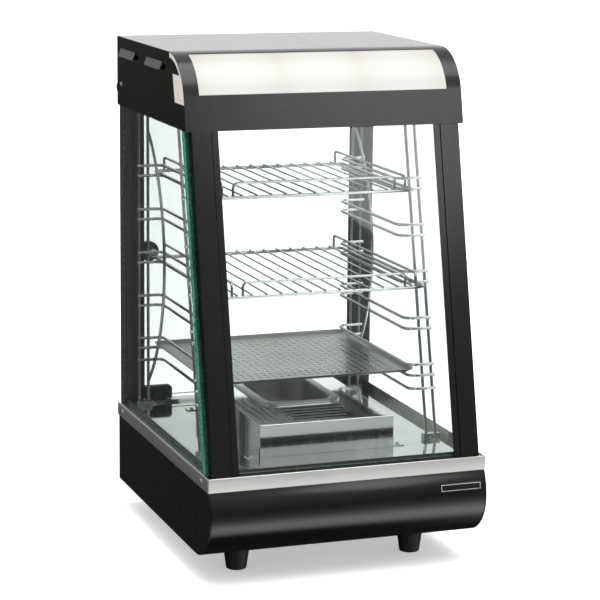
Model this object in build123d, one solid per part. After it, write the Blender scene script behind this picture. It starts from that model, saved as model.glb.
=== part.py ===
from build123d import *
import math
import os

# Hot food display case. Lengths in millimetres, +Z up, +X to the right of someone facing the front.
# While a piece is built, y is its distance behind the front face of the trim band;
# save() then moves every piece forward, so that the origin lies under the middle of the case.

# Overall sizes
WIDTH = 460.0
BODY_HALF = 229.0
HOOD_HALF = 229.3
BODY_BACK = 511.0
TRIM_BACK = 515.0
BULGE = 10.0
DOOR_KNOB_BACK = 534.0
MIDDLE = (DOOR_KNOB_BACK - BULGE) / 2

# Heights
FOOT_TOP = 45.0
BASE_TOP = 158.0
FLOOR_TOP = 178.5
TRIM_TOP = 180.0
HOOD_BOTTOM = 694.0
HOOD_TOP = 808.5
PANE_TOP = 700.0

# Front panel curves: above the nose, below the nose, and the rolled chin
NOSE_Z = 114.0
BROW_R, NOSE_R, CHIN_R = 90.0, 60.0, 78.0
NOSE_TURN = 30.0

# Sheet and glass
SHEET = 1.5
HOOD_SHEET = 1.2
PANE = 5.0
SIDE_PANE = 6.0
GAP = 0.2

# The floor inside the cabinet
FLOOR_HALF, FLOOR_FRONT, FLOOR_BACK = 226.8, 3.0, 509.3

# Screws in the sides of the trim band
TRIM_SCREW_YS = (35.0, 485.0)
TRIM_SCREW_Z = 169.0

# The leaning front
LEAN_FOOT_Y = 4.0
LEAN_TOP_Y = 117.5
LEAN_RATIO = (LEAN_TOP_Y - LEAN_FOOT_Y) / (HOOD_BOTTOM - FLOOR_TOP)
LEAN = math.degrees(math.atan(LEAN_RATIO))
POST_IN, POST_OUT = 189.2, 220.4
POST_DEEP = 24.0
BEAD_IN = 178.0
PANE_SETBACK = 3.2
SIDE_SETBACK = 30.0
SIDE_PANE_IN = 221.0
CHANNEL_WALL, CHANNEL_TOP = 1.6, 191.0

# The rear frame and the door
REAR_POST_FRONT, REAR_POST_BACK = 497.0, 508.0
REAR_POST_IN, REAR_POST_STEP, REAR_POST_OUT = 187.5, 206.4, 226.5
SILL_FRONT, SILL_BACK, SILL_TOP = 489.5, 512.0, 183.0
DOOR_HALF = 186.5
DOOR_Y = 500.0
DOOR_BOTTOM, DOOR_TOP = 190.0, 682.0
HINGE_X = 180.0
HINGE_Y = DOOR_Y + PANE / 2
CLAMP_HALF = 6.0
CLAMP_LONG = 42.0
CLAMP_BOTTOM, CLAMP_HIGH = 184.0, 23.0
PIN_R, PIN_PLAY = 3.0, 0.05
KNOB_X, KNOB_Z, KNOB_R = -171.7, 439.0, 17.0

# Side racks
WIRE_R = 2.5
RACK_IN, RACK_OUT = 184.5, 200.5
RAIL_X = 160.0
RAIL_BEND = 14.0
RACK_REAR_Y = 483.0
RACK_FOOT_Y, RACK_TOP_Y = 133.0, 254.0
RACK_BOTTOM, RACK_TOP = 180.5, 693.0
WELD = 4.6
RAIL_TOP, RAIL_PITCH, RAIL_SLOT, RAIL_LEVELS = 593.0, 74.0, 17.0, 5
LOWEST_RAIL = 259.0
BOW_Y, BOW_MIDDLE_Z, BOW_RISE = 385.0, 437.0, 213.0

# Shelves and tray
SHELF_HALF = 170.0
SHELF_BACK = 490.0
UPPER_FRONT, LOWER_FRONT = 172.0, 120.0
FRAME_R, CROSS_R, GALLERY_R = 2.75, 1.6, 2.2
CROSS_PITCH, CROSS_SIDE = 24.4, 6
GALLERY_HIGH = 23.0
GALLERY_FRONT_X, GALLERY_SIDE_X = 136.0, 154.0
TRAY_HALF, TRAY_FRONT, TRAY_BACK = 175.0, 161.0, 489.0
TRAY_RIM, TRAY_RISE, TRAY_SHEET = 10.0, 5.0, 1.0
REST_GAP = 0.3

# Heater box and water pan
BOX_HALF, BOX_FRONT, BOX_BACK, BOX_TOP = 112.5, 100.0, 440.0, 231.6
SLOT_LONG, SLOT_WIDE, SLOT_PITCH, SLOT_FIRST, SLOTS = 104.0, 7.5, 17.0, 119.0, 5
PAN_HALF, PAN_FRONT, PAN_BACK, PAN_BOTTOM = 56.0, 221.0, 375.0, 191.0
PAN_FLANGE, PAN_LIP, PAN_SHEET = 13.0, 3.4, 1.0
LUG_YS = (111.0, 428.0)
LUG_X = 124.0
ELEMENT_R, ELEMENT_Z = 3.5, 185.5

# Hood
BEND_END = 212.0
UPPER_BROW_R, LOWER_BROW_R = 87.2, 79.2
CUT_Z, CUT_TOP = 733.0, 776.0
WINDOW_HALF, WINDOW_Z, WINDOW_BACK = 204.5, 748.0, 190.0
LAMP_PITCH, LAMP_Y = 132.0, 176.0
LOUVRE_FRONTS = (245.0, 400.0)
LOUVRE_LONG, LOUVRE_OUT = 88.0, 5.0
BUFFER_X, BUFFER_Z, BUFFER_R, BUFFER_BACK = 211.0, 721.0, 15.0, 533.0

# Controls on the base's rear panel
DIAL_X, CONTROL_Z = -120.0, 102.0
SWITCH_XS = (40.0, 92.0)
ROCKER_R, ROCKER_HALF, ROCKER_TILT = 12.5, 6.0, 8.0
ROCKER_Y = 506.0
PILOT_X = -20.0
GLAND_X, GLAND_Z, GLAND_BORE = 180.0, 80.0, 4.5

# Feet
FOOT_X = 148.0
FOOT_YS = (109.0, 430.0)
FOOT_R_TOP, FOOT_R_SOLE = 22.5, 16.0


def save(name, *solids):
    """Write one node, moved so that the origin is under the middle of the case."""
    moved = [Pos(0, -MIDDLE, 0) * solid for solid in solids]
    shape = moved[0] if len(moved) == 1 else Compound(children=moved)
    export_step(shape, os.path.join("parts", name + ".step"))


def block(x0, x1, y0, y1, z0, z1):
    """A box between two corners."""
    return Pos((x0 + x1) / 2, (y0 + y1) / 2, (z0 + z1) / 2) * Box(x1 - x0, y1 - y0, z1 - z0)


def wide(half, y0, y1, z0, z1):
    """A box centred on x = 0."""
    return block(-half, half, y0, y1, z0, z1)


def across(face, x0, x1):
    """A side outline drawn in y and z, made solid from x0 to x1."""
    return Pos(x0, 0, 0) * extrude(Plane.YZ * face, amount=x1 - x0)


def outline(*points):
    """A closed straight-sided outline."""
    return make_face(Polyline(*points, close=True))


def peg(x, y, z0, z1, r):
    """An upright round bar."""
    return Pos(x, y, (z0 + z1) / 2) * Cylinder(r, z1 - z0)


def peg_y(x, y0, y1, z, r):
    """A round bar that runs front to back."""
    return Pos(x, (y0 + y1) / 2, z) * Rot(90, 0, 0) * Cylinder(r, y1 - y0)


def mirrored(solid):
    """The same piece on the other side of the case."""
    return mirror(solid, about=Plane.YZ)


def wire(path, r):
    """Round wire bent along a path."""
    start = Plane(origin=path @ 0, z_dir=path % 0)
    return sweep(start * Circle(r), path=path)


def lean_y(z):
    """Where the leaning front plane is at height z."""
    return LEAN_FOOT_Y + (z - FLOOR_TOP) * LEAN_RATIO


def leaning(solid, z0, z1):
    """Lean an upright piece back to the front plane and cut its ends level."""
    tilted = Pos(0, LEAN_FOOT_Y, FLOOR_TOP) * Rot(-LEAN, 0, 0) * solid
    return tilted & wide(300, -50, 300, z0, z1)


# ---- base ----

def base_outline(inset=0.0):
    """The side outline of the base: flat top, upright back, bulged front rolled under."""
    low, top = FOOT_TOP + inset, BASE_TOP - inset
    brow_y = BROW_R - BULGE
    top_rise = math.degrees(math.asin((top - NOSE_Z) / (BROW_R - inset)))
    nose_y = NOSE_R - BULGE
    chin_y = nose_y + (CHIN_R - NOSE_R) * math.cos(math.radians(NOSE_TURN))
    chin_z = NOSE_Z + (CHIN_R - NOSE_R) * math.sin(math.radians(NOSE_TURN))
    brow = CenterArc((brow_y, NOSE_Z), BROW_R - inset, 180, -top_rise)
    nose = CenterArc((nose_y, NOSE_Z), NOSE_R - inset, 180, NOSE_TURN)
    chin = CenterArc((chin_y, chin_z), CHIN_R - inset, 180 + NOSE_TURN, 90 - NOSE_TURN)
    edges = [brow, nose, chin]
    edges.append(Polyline(chin @ 1, (BODY_BACK, low), (BODY_BACK, top), brow @ 1))
    return make_face(edges)


def base_cheek():
    return across(base_outline(), BODY_HALF - SHEET, BODY_HALF)


def base_front_panel():
    skin = base_outline() - base_outline(SHEET)
    half = BODY_HALF - SHEET - GAP
    sheet = across(skin, -half, half)
    return sheet & (wide(300, -20, 60, 0, 100) + wide(300, -20, 14, 99, 300))


def badge_plate():
    skin = base_outline(-0.9) - base_outline(-0.03)
    return across(skin, 150, 220) & block(140, 226, -20, 20, 129, 142)


def base_bottom_plate():
    half = BODY_HALF - SHEET - GAP
    plate = wide(half, 60 + GAP, BODY_BACK, FOOT_TOP, FOOT_TOP + SHEET)
    for row in range(8):
        y = 200 + row * 14
        plate -= wide(60, y, y + 5, FOOT_TOP - 1, FOOT_TOP + 3)
    for x in (-FOOT_X, FOOT_X):
        for y in FOOT_YS:
            plate -= peg(x, y, FOOT_TOP - 1, FOOT_TOP + 3, 2.6)
    return plate


def foot(x, y):
    """A tapered rubber foot with a deep screw recess in its sole."""
    cone = Pos(x, y, FOOT_TOP / 2) * Cone(FOOT_R_SOLE, FOOT_R_TOP, FOOT_TOP)
    return cone - peg(x, y, -1, 34, 6.5) - peg(x, y, 30, FOOT_TOP + 1, 2.6)


def foot_screw(x, y):
    return peg(x, y, 30.5, 34, 5.0) + peg(x, y, 34, FOOT_TOP + 8, 2.5)


def base_rear_panel():
    panel = wide(BODY_HALF - SHEET - GAP, BODY_BACK - SHEET, BODY_BACK, FOOT_TOP + SHEET, BASE_TOP - GAP)
    panel -= peg_y(DIAL_X, 505, 515, CONTROL_Z, 4.0)
    panel -= peg_y(PILOT_X, 505, 515, CONTROL_Z, 5.1)
    panel -= peg_y(GLAND_X, 505, 515, GLAND_Z, 8.1)
    for x in SWITCH_XS:
        panel -= block(x - 7.6, x + 7.6, 505, 515, CONTROL_Z - 14.1, CONTROL_Z + 14.1)
    return panel


def trim_band():
    """A bright band round the front and both sides, with a narrow lip over the floor's edge."""
    band = wide(WIDTH / 2, 0, TRIM_BACK, BASE_TOP, TRIM_TOP)
    for side in (-1, 1):
        for y in TRIM_SCREW_YS:
            band -= Pos(side * WIDTH / 2, y, TRIM_SCREW_Z) * Rot(0, 90, 0) * Cylinder(2.05, 10)
    band -= wide(WIDTH / 2 - HOOD_SHEET, HOOD_SHEET, TRIM_BACK + 1, BASE_TOP - 1, TRIM_TOP - HOOD_SHEET)
    return band - wide(WIDTH / 2 - 2.5, 2.5, TRIM_BACK + 1, BASE_TOP, TRIM_TOP + 1)


# ---- cabinet ----

def floor_plate():
    """A polished floor folded down at its four edges."""
    plate = wide(FLOOR_HALF, FLOOR_FRONT, FLOOR_BACK, BASE_TOP + GAP, FLOOR_TOP)
    plate -= wide(FLOOR_HALF - SHEET, FLOOR_FRONT + SHEET, FLOOR_BACK - SHEET, BASE_TOP, FLOOR_TOP - SHEET)
    for x in (-LUG_X, LUG_X):
        for y in LUG_YS:
            plate -= peg(x, y, FLOOR_TOP - 5, FLOOR_TOP + 1, 2.05)
    return plate


def side_channel():
    """An angle on the floor that carries the side pane's lower edge."""
    y0, y1 = 33.0, REAR_POST_FRONT - 0.5
    inner = SIDE_PANE_IN - CHANNEL_WALL - 0.4
    foot = block(inner, SIDE_PANE_IN + SIDE_PANE, y0, y1, FLOOR_TOP, TRIM_TOP)
    return foot + block(inner, inner + CHANNEL_WALL, y0, y1, FLOOR_TOP, CHANNEL_TOP)


def side_glass():
    foot_z = TRIM_TOP + GAP
    back = REAR_POST_FRONT - 0.5
    pane = outline((lean_y(foot_z) + SIDE_SETBACK, foot_z), (back, foot_z), (back, PANE_TOP),
                   (lean_y(PANE_TOP) + SIDE_SETBACK, PANE_TOP))
    return across(pane, SIDE_PANE_IN, SIDE_PANE_IN + SIDE_PANE)


def front_post():
    tube = block(POST_IN, POST_OUT, 0, POST_DEEP, -60, 600)
    tube -= block(POST_IN + SHEET, POST_OUT - SHEET, SHEET, POST_DEEP - SHEET, -70, 610)
    return leaning(tube, FLOOR_TOP, HOOD_BOTTOM - GAP)


def glazing_bead():
    strip = block(BEAD_IN, POST_IN - 0.6, 0.8, PANE_SETBACK - 0.1, -60, 600)
    return leaning(strip, FLOOR_TOP + 1, HOOD_BOTTOM - GAP)


def front_glass():
    half = POST_IN - 0.6
    pane = wide(half, PANE_SETBACK, PANE_SETBACK + PANE, -60, 700)
    return leaning(pane, 182, PANE_TOP)


def front_glass_rest():
    """A low channel that the front pane stands in."""
    half = POST_IN - 0.6
    rest = wide(half, PANE_SETBACK - 0.1, PANE_SETBACK + PANE + 2, -60, 60)
    groove = wide(half + 1, PANE_SETBACK - 1, PANE_SETBACK + PANE + 0.1, 3.6, 60)
    return leaning(rest - groove, FLOOR_TOP, 187)


def rear_post():
    """A square tube with a rebated solid strip on the door's side."""
    tube_in, top = REAR_POST_STEP + 0.6, HOOD_BOTTOM - GAP
    hollow_y0, hollow_y1 = REAR_POST_FRONT + SHEET, REAR_POST_BACK - SHEET
    post = block(tube_in, REAR_POST_OUT, REAR_POST_FRONT, REAR_POST_BACK, FLOOR_TOP, top)
    post -= block(tube_in + SHEET, REAR_POST_OUT - SHEET, hollow_y0, hollow_y1, 170, 700)
    post += block(REAR_POST_IN, REAR_POST_STEP, DOOR_Y, REAR_POST_BACK, FLOOR_TOP, top)
    return post + block(REAR_POST_STEP - 0.4, tube_in + 0.5, DOOR_Y + 3, REAR_POST_BACK, FLOOR_TOP, top)


def rear_sill():
    half = REAR_POST_IN - 0.3
    sill = wide(half, SILL_FRONT, SILL_BACK, FLOOR_TOP, SILL_TOP)
    return sill - wide(half + 1, SILL_FRONT + SHEET, FLOOR_BACK, FLOOR_TOP - 1, SILL_TOP - SHEET)


# ---- rear door ----

def door_glass():
    pane = wide(DOOR_HALF, DOOR_Y, DOOR_Y + PANE, DOOR_BOTTOM, DOOR_TOP)
    return pane - peg_y(KNOB_X, 490, 515, KNOB_Z, 4.1)


def clamp_body(x0, x1, z0):
    return block(x0, x1, HINGE_Y - CLAMP_HALF, HINGE_Y + CLAMP_HALF, z0, z0 + CLAMP_HIGH)


def hinge_clamp(z0, slot_z0, slot_z1, bore_z0, bore_z1):
    """A clamp that grips a corner of the door, with a round nose and a blind pivot bore."""
    body = clamp_body(HINGE_X - CLAMP_LONG, HINGE_X, z0)
    body += peg(HINGE_X, HINGE_Y, z0, z0 + CLAMP_HIGH, CLAMP_HALF)
    body -= block(100, 200, DOOR_Y - 0.05, DOOR_Y + PANE + 0.05, slot_z0, slot_z1)
    return body - peg(HINGE_X, HINGE_Y, bore_z0, bore_z1, PIN_R + PIN_PLAY)


def lower_hinge_clamp():
    return hinge_clamp(CLAMP_BOTTOM, DOOR_BOTTOM - 0.1, 300, CLAMP_BOTTOM - 1, DOOR_BOTTOM - 0.5)


def upper_hinge_clamp():
    z0 = DOOR_TOP - CLAMP_HIGH + 6
    return hinge_clamp(z0, 600, DOOR_TOP + 0.1, DOOR_TOP + 0.5, z0 + CLAMP_HIGH + 1)


def pivot_pins():
    lower = peg(HINGE_X, HINGE_Y, SILL_TOP, DOOR_BOTTOM - 0.8, PIN_R)
    upper = peg(HINGE_X, HINGE_Y, DOOR_TOP + 0.8, HOOD_BOTTOM, PIN_R)
    return lower, upper


def catch_plate():
    """A steel clip on the door's free lower corner, which the magnet holds."""
    body = clamp_body(-DOOR_HALF + 0.5, -138, CLAMP_BOTTOM)
    body = fillet(body.edges().filter_by(Axis.Y).group_by(Axis.Z)[-1].sort_by(Axis.X)[-1], 6)
    return body - block(-190, -100, DOOR_Y - 0.05, DOOR_Y + PANE + 0.05, DOOR_BOTTOM - 0.1, 300)


def catch_magnet():
    return block(-174, -150, SILL_FRONT + 1, HINGE_Y - CLAMP_HALF - 0.3, SILL_TOP, 199)


def door_knob():
    """A turned knob outside the glass with a bush through it."""
    outer = DOOR_Y + PANE
    knob = peg_y(KNOB_X, outer + 0.1, outer + 12, KNOB_Z, 9)
    knob += peg_y(KNOB_X, outer + 12, DOOR_KNOB_BACK, KNOB_Z, KNOB_R)
    knob = fillet(knob.edges().group_by(Axis.Y)[-1], 3)
    return knob + peg_y(KNOB_X, DOOR_Y - 0.5, outer + 0.2, KNOB_Z, 4)


def door_knob_screw():
    return peg_y(KNOB_X, DOOR_Y - 3.5, DOOR_Y - 0.5, KNOB_Z, 8)


# ---- hood ----

def hood_outline(inset=0.0):
    """The side outline of the hood: leaning fascia, curved brow, flat top."""
    turn = math.radians(45)
    upper = (BEND_END, HOOD_TOP - UPPER_BROW_R)
    step = UPPER_BROW_R - LOWER_BROW_R
    lower = (upper[0] - step * math.cos(turn), upper[1] + step * math.sin(turn))
    upper_arc = CenterArc(upper, UPPER_BROW_R - inset, 90, 45)
    lower_arc = CenterArc(lower, LOWER_BROW_R - inset, 135, 45 - LEAN)
    bend = lower_arc @ 1
    foot = (bend.X - (bend.Y - HOOD_BOTTOM) * LEAN_RATIO, HOOD_BOTTOM)
    rest = Polyline(bend, foot, (BODY_BACK, HOOD_BOTTOM), (BODY_BACK, HOOD_TOP - inset), upper_arc @ 0)
    return make_face([upper_arc, lower_arc, rest])


def hood_cheek():
    """A side plate with two pressed louvres, cut away at the front for the light's end."""
    inner = HOOD_HALF - HOOD_SHEET
    face = hood_outline(HOOD_SHEET + 0.1)
    face -= hood_outline() & outline((100, CUT_Z), (180, CUT_Z), (192, CUT_TOP), (100, CUT_TOP))
    brow = hood_outline() - hood_outline(9)
    end = BEND_END - 2
    strip = outline((100, CUT_TOP - 1), (178, CUT_TOP - 1), (end, 795), (end, 820), (100, 820))
    face -= brow & strip
    cheek = across(face, inner, HOOD_HALF)
    for y in LOUVRE_FRONTS:
        cheek -= block(220, 240, y - 17, y + LOUVRE_LONG, 778, 786)
        top, low = 790.0, 776.5
        tip = HOOD_HALF + LOUVRE_OUT
        outside = [(HOOD_HALF - 0.2, top), (tip, low)]
        inside = [(tip - 1.4, low), (HOOD_HALF - 1.2, top - 2)]
        flap = Polyline(*outside, *inside, close=True)
        cheek += Pos(0, y + LOUVRE_LONG, 0) * extrude(Plane.XZ * make_face(flap), amount=LOUVRE_LONG)
    cheek -= Pos(HOOD_HALF, 486, 730) * Rot(0, 90, 0) * Cylinder(2.05, 8)
    return cheek


def hood_fascia():
    skin = hood_outline() - hood_outline(HOOD_SHEET)
    sheet = across(skin, -HOOD_HALF, HOOD_HALF)
    sheet &= wide(300, 100, BEND_END, 600, 900)
    return sheet - wide(WINDOW_HALF, 100, WINDOW_BACK, WINDOW_Z, 900)


def light_diffuser():
    """A moulded white cover that follows the fascia, closed by a wall at each end."""
    outer = hood_outline(HOOD_SHEET + 0.3)
    inner = hood_outline(HOOD_SHEET + 3.3)
    lower = [(100, CUT_Z - 5), (186, CUT_Z - 5), (197, CUT_TOP + 2)]
    zone = outline(*lower, (214, 797), (214, 820), (100, 820))
    half = HOOD_HALF - SHEET
    cover = across((outer - inner) & zone, -half, half)
    end = across(outer & zone, half - 3, half)
    return cover + end + mirrored(end)


def hood_top():
    return wide(HOOD_HALF, BEND_END + GAP, BODY_BACK, HOOD_TOP - HOOD_SHEET, HOOD_TOP)


def hood_rear_panel():
    panel = wide(HOOD_HALF - HOOD_SHEET - GAP, BODY_BACK - SHEET, BODY_BACK, HOOD_BOTTOM, HOOD_TOP - 1.4)
    for column in range(14):
        x = -91 + column * 14
        panel -= block(x - 2.5, x + 2.5, 505, 515, 755, 790)
    return panel


def hood_ceiling():
    half = SIDE_PANE_IN - 0.5
    return wide(half, 130, BODY_BACK - SHEET - GAP, HOOD_BOTTOM, HOOD_BOTTOM + SHEET)


def lamp_reflector():
    """A bent white sheet behind the lamps."""
    z0 = HOOD_BOTTOM + SHEET
    return wide(200, 206, 207, z0, 796) + wide(200, 190, 207, z0, z0 + 1)


def lamp_holder(x):
    z0 = HOOD_BOTTOM + SHEET
    return peg(x, LAMP_Y, z0, z0 + 26, 13) - peg(x, LAMP_Y, z0 + 14, z0 + 30, 8.1)


def lamp(x):
    """A small pear-shaped lamp with its screw cap in the holder."""
    z0 = HOOD_BOTTOM + SHEET + 14.2
    glass = Pos(x, LAMP_Y, z0 + 44) * Sphere(12.5)
    return peg(x, LAMP_Y, z0, z0 + 22, 8) + peg(x, LAMP_Y, z0 + 20, z0 + 44, 9.5) + glass


def wall_buffer(x):
    body = peg_y(x, BODY_BACK, BUFFER_BACK, BUFFER_Z, BUFFER_R)
    return fillet(body.edges().group_by(Axis.Y)[-1], 4)


# ---- side racks ----

def rack_front_y(z):
    """Where the front uprights are at height z."""
    return RACK_FOOT_Y + (z - RACK_BOTTOM) * (RACK_TOP_Y - RACK_FOOT_Y) / (RACK_TOP - RACK_BOTTOM)


def rail_heights():
    pairs = []
    for level in range(RAIL_LEVELS):
        top = RAIL_TOP - level * RAIL_PITCH
        pairs += [top, top - RAIL_SLOT]
    return pairs + [LOWEST_RAIL]


def rail(z):
    """A rail that runs front to back, both ends bent out across the uprights."""
    tip = RACK_OUT + 4
    y0, y1 = rack_front_y(z) - WELD, RACK_REAR_Y - WELD
    path = FilletPolyline((tip, y0, z), (RAIL_X, y0, z), (RAIL_X, y1, z), (tip, y1, z), radius=RAIL_BEND)
    return wire(path, WIRE_R)


def upright(x, y0, y1, r=WIRE_R):
    return wire(Line((x, y0, RACK_BOTTOM), (x, y1, RACK_TOP)), r)


def rack_uprights(r=WIRE_R):
    bars = []
    for x in (RACK_IN, RACK_OUT):
        bars.append(upright(x, RACK_FOOT_Y, RACK_TOP_Y, r))
        bars.append(upright(x, RACK_REAR_Y, RACK_REAR_Y, r))
    return bars


def side_rack():
    y, top, low = RACK_REAR_Y - WELD + 0.6, BOW_MIDDLE_Z + BOW_RISE, BOW_MIDDLE_Z - BOW_RISE
    bow = wire(ThreePointArc((RACK_IN, y, top), (RACK_IN, BOW_Y, BOW_MIDDLE_Z), (RACK_IN, y, low)), WIRE_R)
    rails = [rail(z) for z in rail_heights()]
    first, *others = rack_uprights()
    return first.fuse(*others, *rails, bow)


def rack_clips():
    """Blocks on the floor and the ceiling that the uprights' ends stand in."""
    sockets = rack_uprights(WIRE_R + 0.1)
    middle = (RACK_IN + RACK_OUT) / 2
    clips = []
    for y, z0, z1 in ((RACK_FOOT_Y + 1, FLOOR_TOP, 187), (RACK_REAR_Y, FLOOR_TOP, 187),
                      (RACK_TOP_Y - 1, 686, HOOD_BOTTOM), (RACK_REAR_Y, 686, HOOD_BOTTOM)):
        clip = block(middle - 14, middle + 14, y - 5.5, y + 5.5, z0, z1)
        for socket in sockets:
            clip -= socket
        clips += [clip, mirrored(clip)]
    return clips


# ---- shelves and tray ----

def shelf(front, rail_z):
    """A wire shelf: round frame, cross wires front to back, a low gallery on three sides."""
    z = rail_z + WIRE_R + FRAME_R + REST_GAP
    rounded = RectangleRounded(2 * SHELF_HALF, SHELF_BACK - front, 9)
    frame_path = (Pos(0, (front + SHELF_BACK) / 2, z) * rounded).wire()
    pieces = [wire(frame_path, FRAME_R)]
    cross_z = z + FRAME_R + CROSS_R - 0.6
    for step in range(-CROSS_SIDE, CROSS_SIDE + 1):
        x = step * CROSS_PITCH
        pieces.append(wire(Line((x, front - 2.5, cross_z), (x, SHELF_BACK + 2.5, cross_z)), CROSS_R))
    top = z + GALLERY_HIGH
    x = GALLERY_FRONT_X
    rail = FilletPolyline((-x, front, z), (-x, front, top), (x, front, top), (x, front, z), radius=8)
    pieces.append(wire(rail, GALLERY_R))
    for x in (-GALLERY_SIDE_X, GALLERY_SIDE_X):
        upright, far = (x, front, top), (x, SHELF_BACK, top)
        rail = FilletPolyline((x, front, z), upright, far, (x, SHELF_BACK, z), radius=8)
        pieces.append(wire(rail, GALLERY_R))
    first, *others = pieces
    return first.fuse(*others)


def tray():
    """A shallow tray, its rim sloped up and out."""
    z0 = RAIL_TOP - 4 * RAIL_PITCH - RAIL_SLOT + WIRE_R + REST_GAP
    depth, width = TRAY_BACK - TRAY_FRONT, 2 * TRAY_HALF
    centre = (TRAY_FRONT + TRAY_BACK) / 2

    def level(z, inset):
        face = RectangleRounded(width - 2 * inset, depth - 2 * inset, max(2, 14 - inset))
        return Pos(0, centre, z) * face

    outer = loft([level(z0, TRAY_RIM), level(z0 + TRAY_RISE, 0)])
    inner = loft([level(z0 + TRAY_SHEET, TRAY_RIM + 0.4), level(z0 + TRAY_RISE + TRAY_SHEET, 0.4)])
    return outer - inner


# ---- heater ----

def heater_box():
    box = wide(BOX_HALF, BOX_FRONT, BOX_BACK, FLOOR_TOP + GAP, BOX_TOP)
    box -= wide(BOX_HALF - SHEET, BOX_FRONT + SHEET, BOX_BACK - SHEET, FLOOR_TOP - 1, BOX_TOP - SHEET)
    for step in range(SLOTS):
        slot = SlotOverall(SLOT_LONG, SLOT_WIDE)
        box -= Pos(2, SLOT_FIRST + step * SLOT_PITCH, BOX_TOP - 4) * extrude(slot, amount=10)
    return box - wide(PAN_HALF + 1, PAN_FRONT - 1, PAN_BACK + 1, BOX_TOP - 5, BOX_TOP + 5)


def water_pan():
    """A drawn pan with a broad flange turned down at its edge."""
    width, depth = 2 * PAN_HALF, PAN_BACK - PAN_FRONT
    centre = Pos(0, (PAN_FRONT + PAN_BACK) / 2, 0)
    flange_top = BOX_TOP + 0.1 + PAN_LIP

    def level(z0, z1, grow, r):
        face = RectangleRounded(width + 2 * grow, depth + 2 * grow, r)
        return centre * Pos(0, 0, z0) * extrude(face, amount=z1 - z0)

    pan = level(PAN_BOTTOM, flange_top, 0, 18) + level(BOX_TOP + 0.1, flange_top, PAN_FLANGE, 20)
    under = level(BOX_TOP, flange_top - PAN_SHEET, PAN_FLANGE - 1, 19)
    pan -= under - level(BOX_TOP - 1, flange_top, 0, 18)
    return pan - level(PAN_BOTTOM + PAN_SHEET, flange_top + 1, -PAN_SHEET, 17)


def heating_element():
    """A bent tubular element: three runs under the slots, two legs back past the pan."""
    z = ELEMENT_Z
    path = FilletPolyline((-92, 405, z), (-92, 119, z), (62, 119, z), (62, 153, z), (-62, 153, z),
                          (-62, 187, z), (92, 187, z), (92, 405, z), radius=12)
    return wire(path, ELEMENT_R)


def temperature_feeler():
    return peg_y(-76, 230, 330, 196, 3)


def heater_lug(x, y):
    side = 1 if x > 0 else -1
    plate = Pos(side * (BOX_HALF + 10.6), y, FLOOR_TOP + 0.8) * Box(20, 16, 1.5)
    tab = Pos(side * (BOX_HALF + 1.35), y, FLOOR_TOP + 7) * Box(1.5, 16, 13.9)
    return plate + tab - peg(x, y, FLOOR_TOP - 1, FLOOR_TOP + 3, 2.05)


def small_screw():
    """A domed screw head on a short shank that points down."""
    head = Pos(0, 0, 0) * Cylinder(3.8, 2.2, align=(Align.CENTER, Align.CENTER, Align.MIN))
    head = fillet(head.edges().group_by(Axis.Z)[-1], 1.6)
    return head + Cylinder(2, 3, align=(Align.CENTER, Align.CENTER, Align.MAX))


def case_screws():
    """Screws of the feet, the heater lugs, the trim band's sides and the hood's cheeks."""
    screws = [foot_screw(x, y) for x, y in foot_places()]
    for x in (-LUG_X, LUG_X):
        for y in LUG_YS:
            screws.append(Pos(x, y, FLOOR_TOP + 1.55) * small_screw())
    for side in (-1, 1):
        for y in TRIM_SCREW_YS:
            screws.append(Pos(side * (WIDTH / 2), y, TRIM_SCREW_Z) * Rot(0, side * 90, 0) * small_screw())
        screws.append(Pos(side * HOOD_HALF, 486, 730) * Rot(0, side * 90, 0) * small_screw())
    return screws


# ---- controls ----

def thermostat():
    body = block(DIAL_X - 22, DIAL_X + 22, 468, 507, CONTROL_Z - 18, CONTROL_Z + 18)
    return body - peg_y(DIAL_X, 480, 512, CONTROL_Z, 3.05)


def thermostat_shaft():
    return peg_y(DIAL_X, 482, 526, CONTROL_Z, 3)


def dial_plate():
    return peg_y(DIAL_X, BODY_BACK, BODY_BACK + 0.8, CONTROL_Z, 29) - peg_y(DIAL_X, 505, 515, CONTROL_Z, 4)


def thermostat_knob():
    """A skirted knob with a raised finger bar."""
    skirt = peg_y(DIAL_X, 512.3, 516, CONTROL_Z, 20)
    bar = block(DIAL_X - 5, DIAL_X + 5, 516, 531, CONTROL_Z - 18, CONTROL_Z + 18)
    knob = skirt + peg_y(DIAL_X, 516, 522, CONTROL_Z, 17)
    knob += bar & peg_y(DIAL_X, 510, 531, CONTROL_Z, 17.5)
    return knob - peg_y(DIAL_X, 500, 526.1, CONTROL_Z, 3.01)


def switch_frame(x):
    z = CONTROL_Z
    frame = block(x - 9.5, x + 9.5, BODY_BACK, 513, z - 17, z + 17)
    frame += block(x - 7.5, x + 7.5, 494, BODY_BACK, z - 14, z + 14)
    return frame - block(x - 6.4, x + 6.4, 497, 520, z - 12.9, z + 12.9)


def rocker(x):
    """A rocker cap: part of a round drum with a shallow vee in its face."""
    drum = Pos(x, 0, 0) * Rot(0, 90, 0) * Cylinder(ROCKER_R, 2 * ROCKER_HALF)
    vee = outline((-6, -14), (10, -14), (7.2, 0), (10, 14), (-6, 14))
    cap = drum & across(vee, x - 10, x + 10)
    return Pos(0, ROCKER_Y, CONTROL_Z) * Rot(-ROCKER_TILT, 0, 0) * cap


def pilot_lamp():
    lens = peg_y(PILOT_X, BODY_BACK, 515, CONTROL_Z, 7)
    lens = fillet(lens.edges().group_by(Axis.Y)[-1], 2.5)
    return lens + peg_y(PILOT_X, 490, BODY_BACK, CONTROL_Z, 5)


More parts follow.
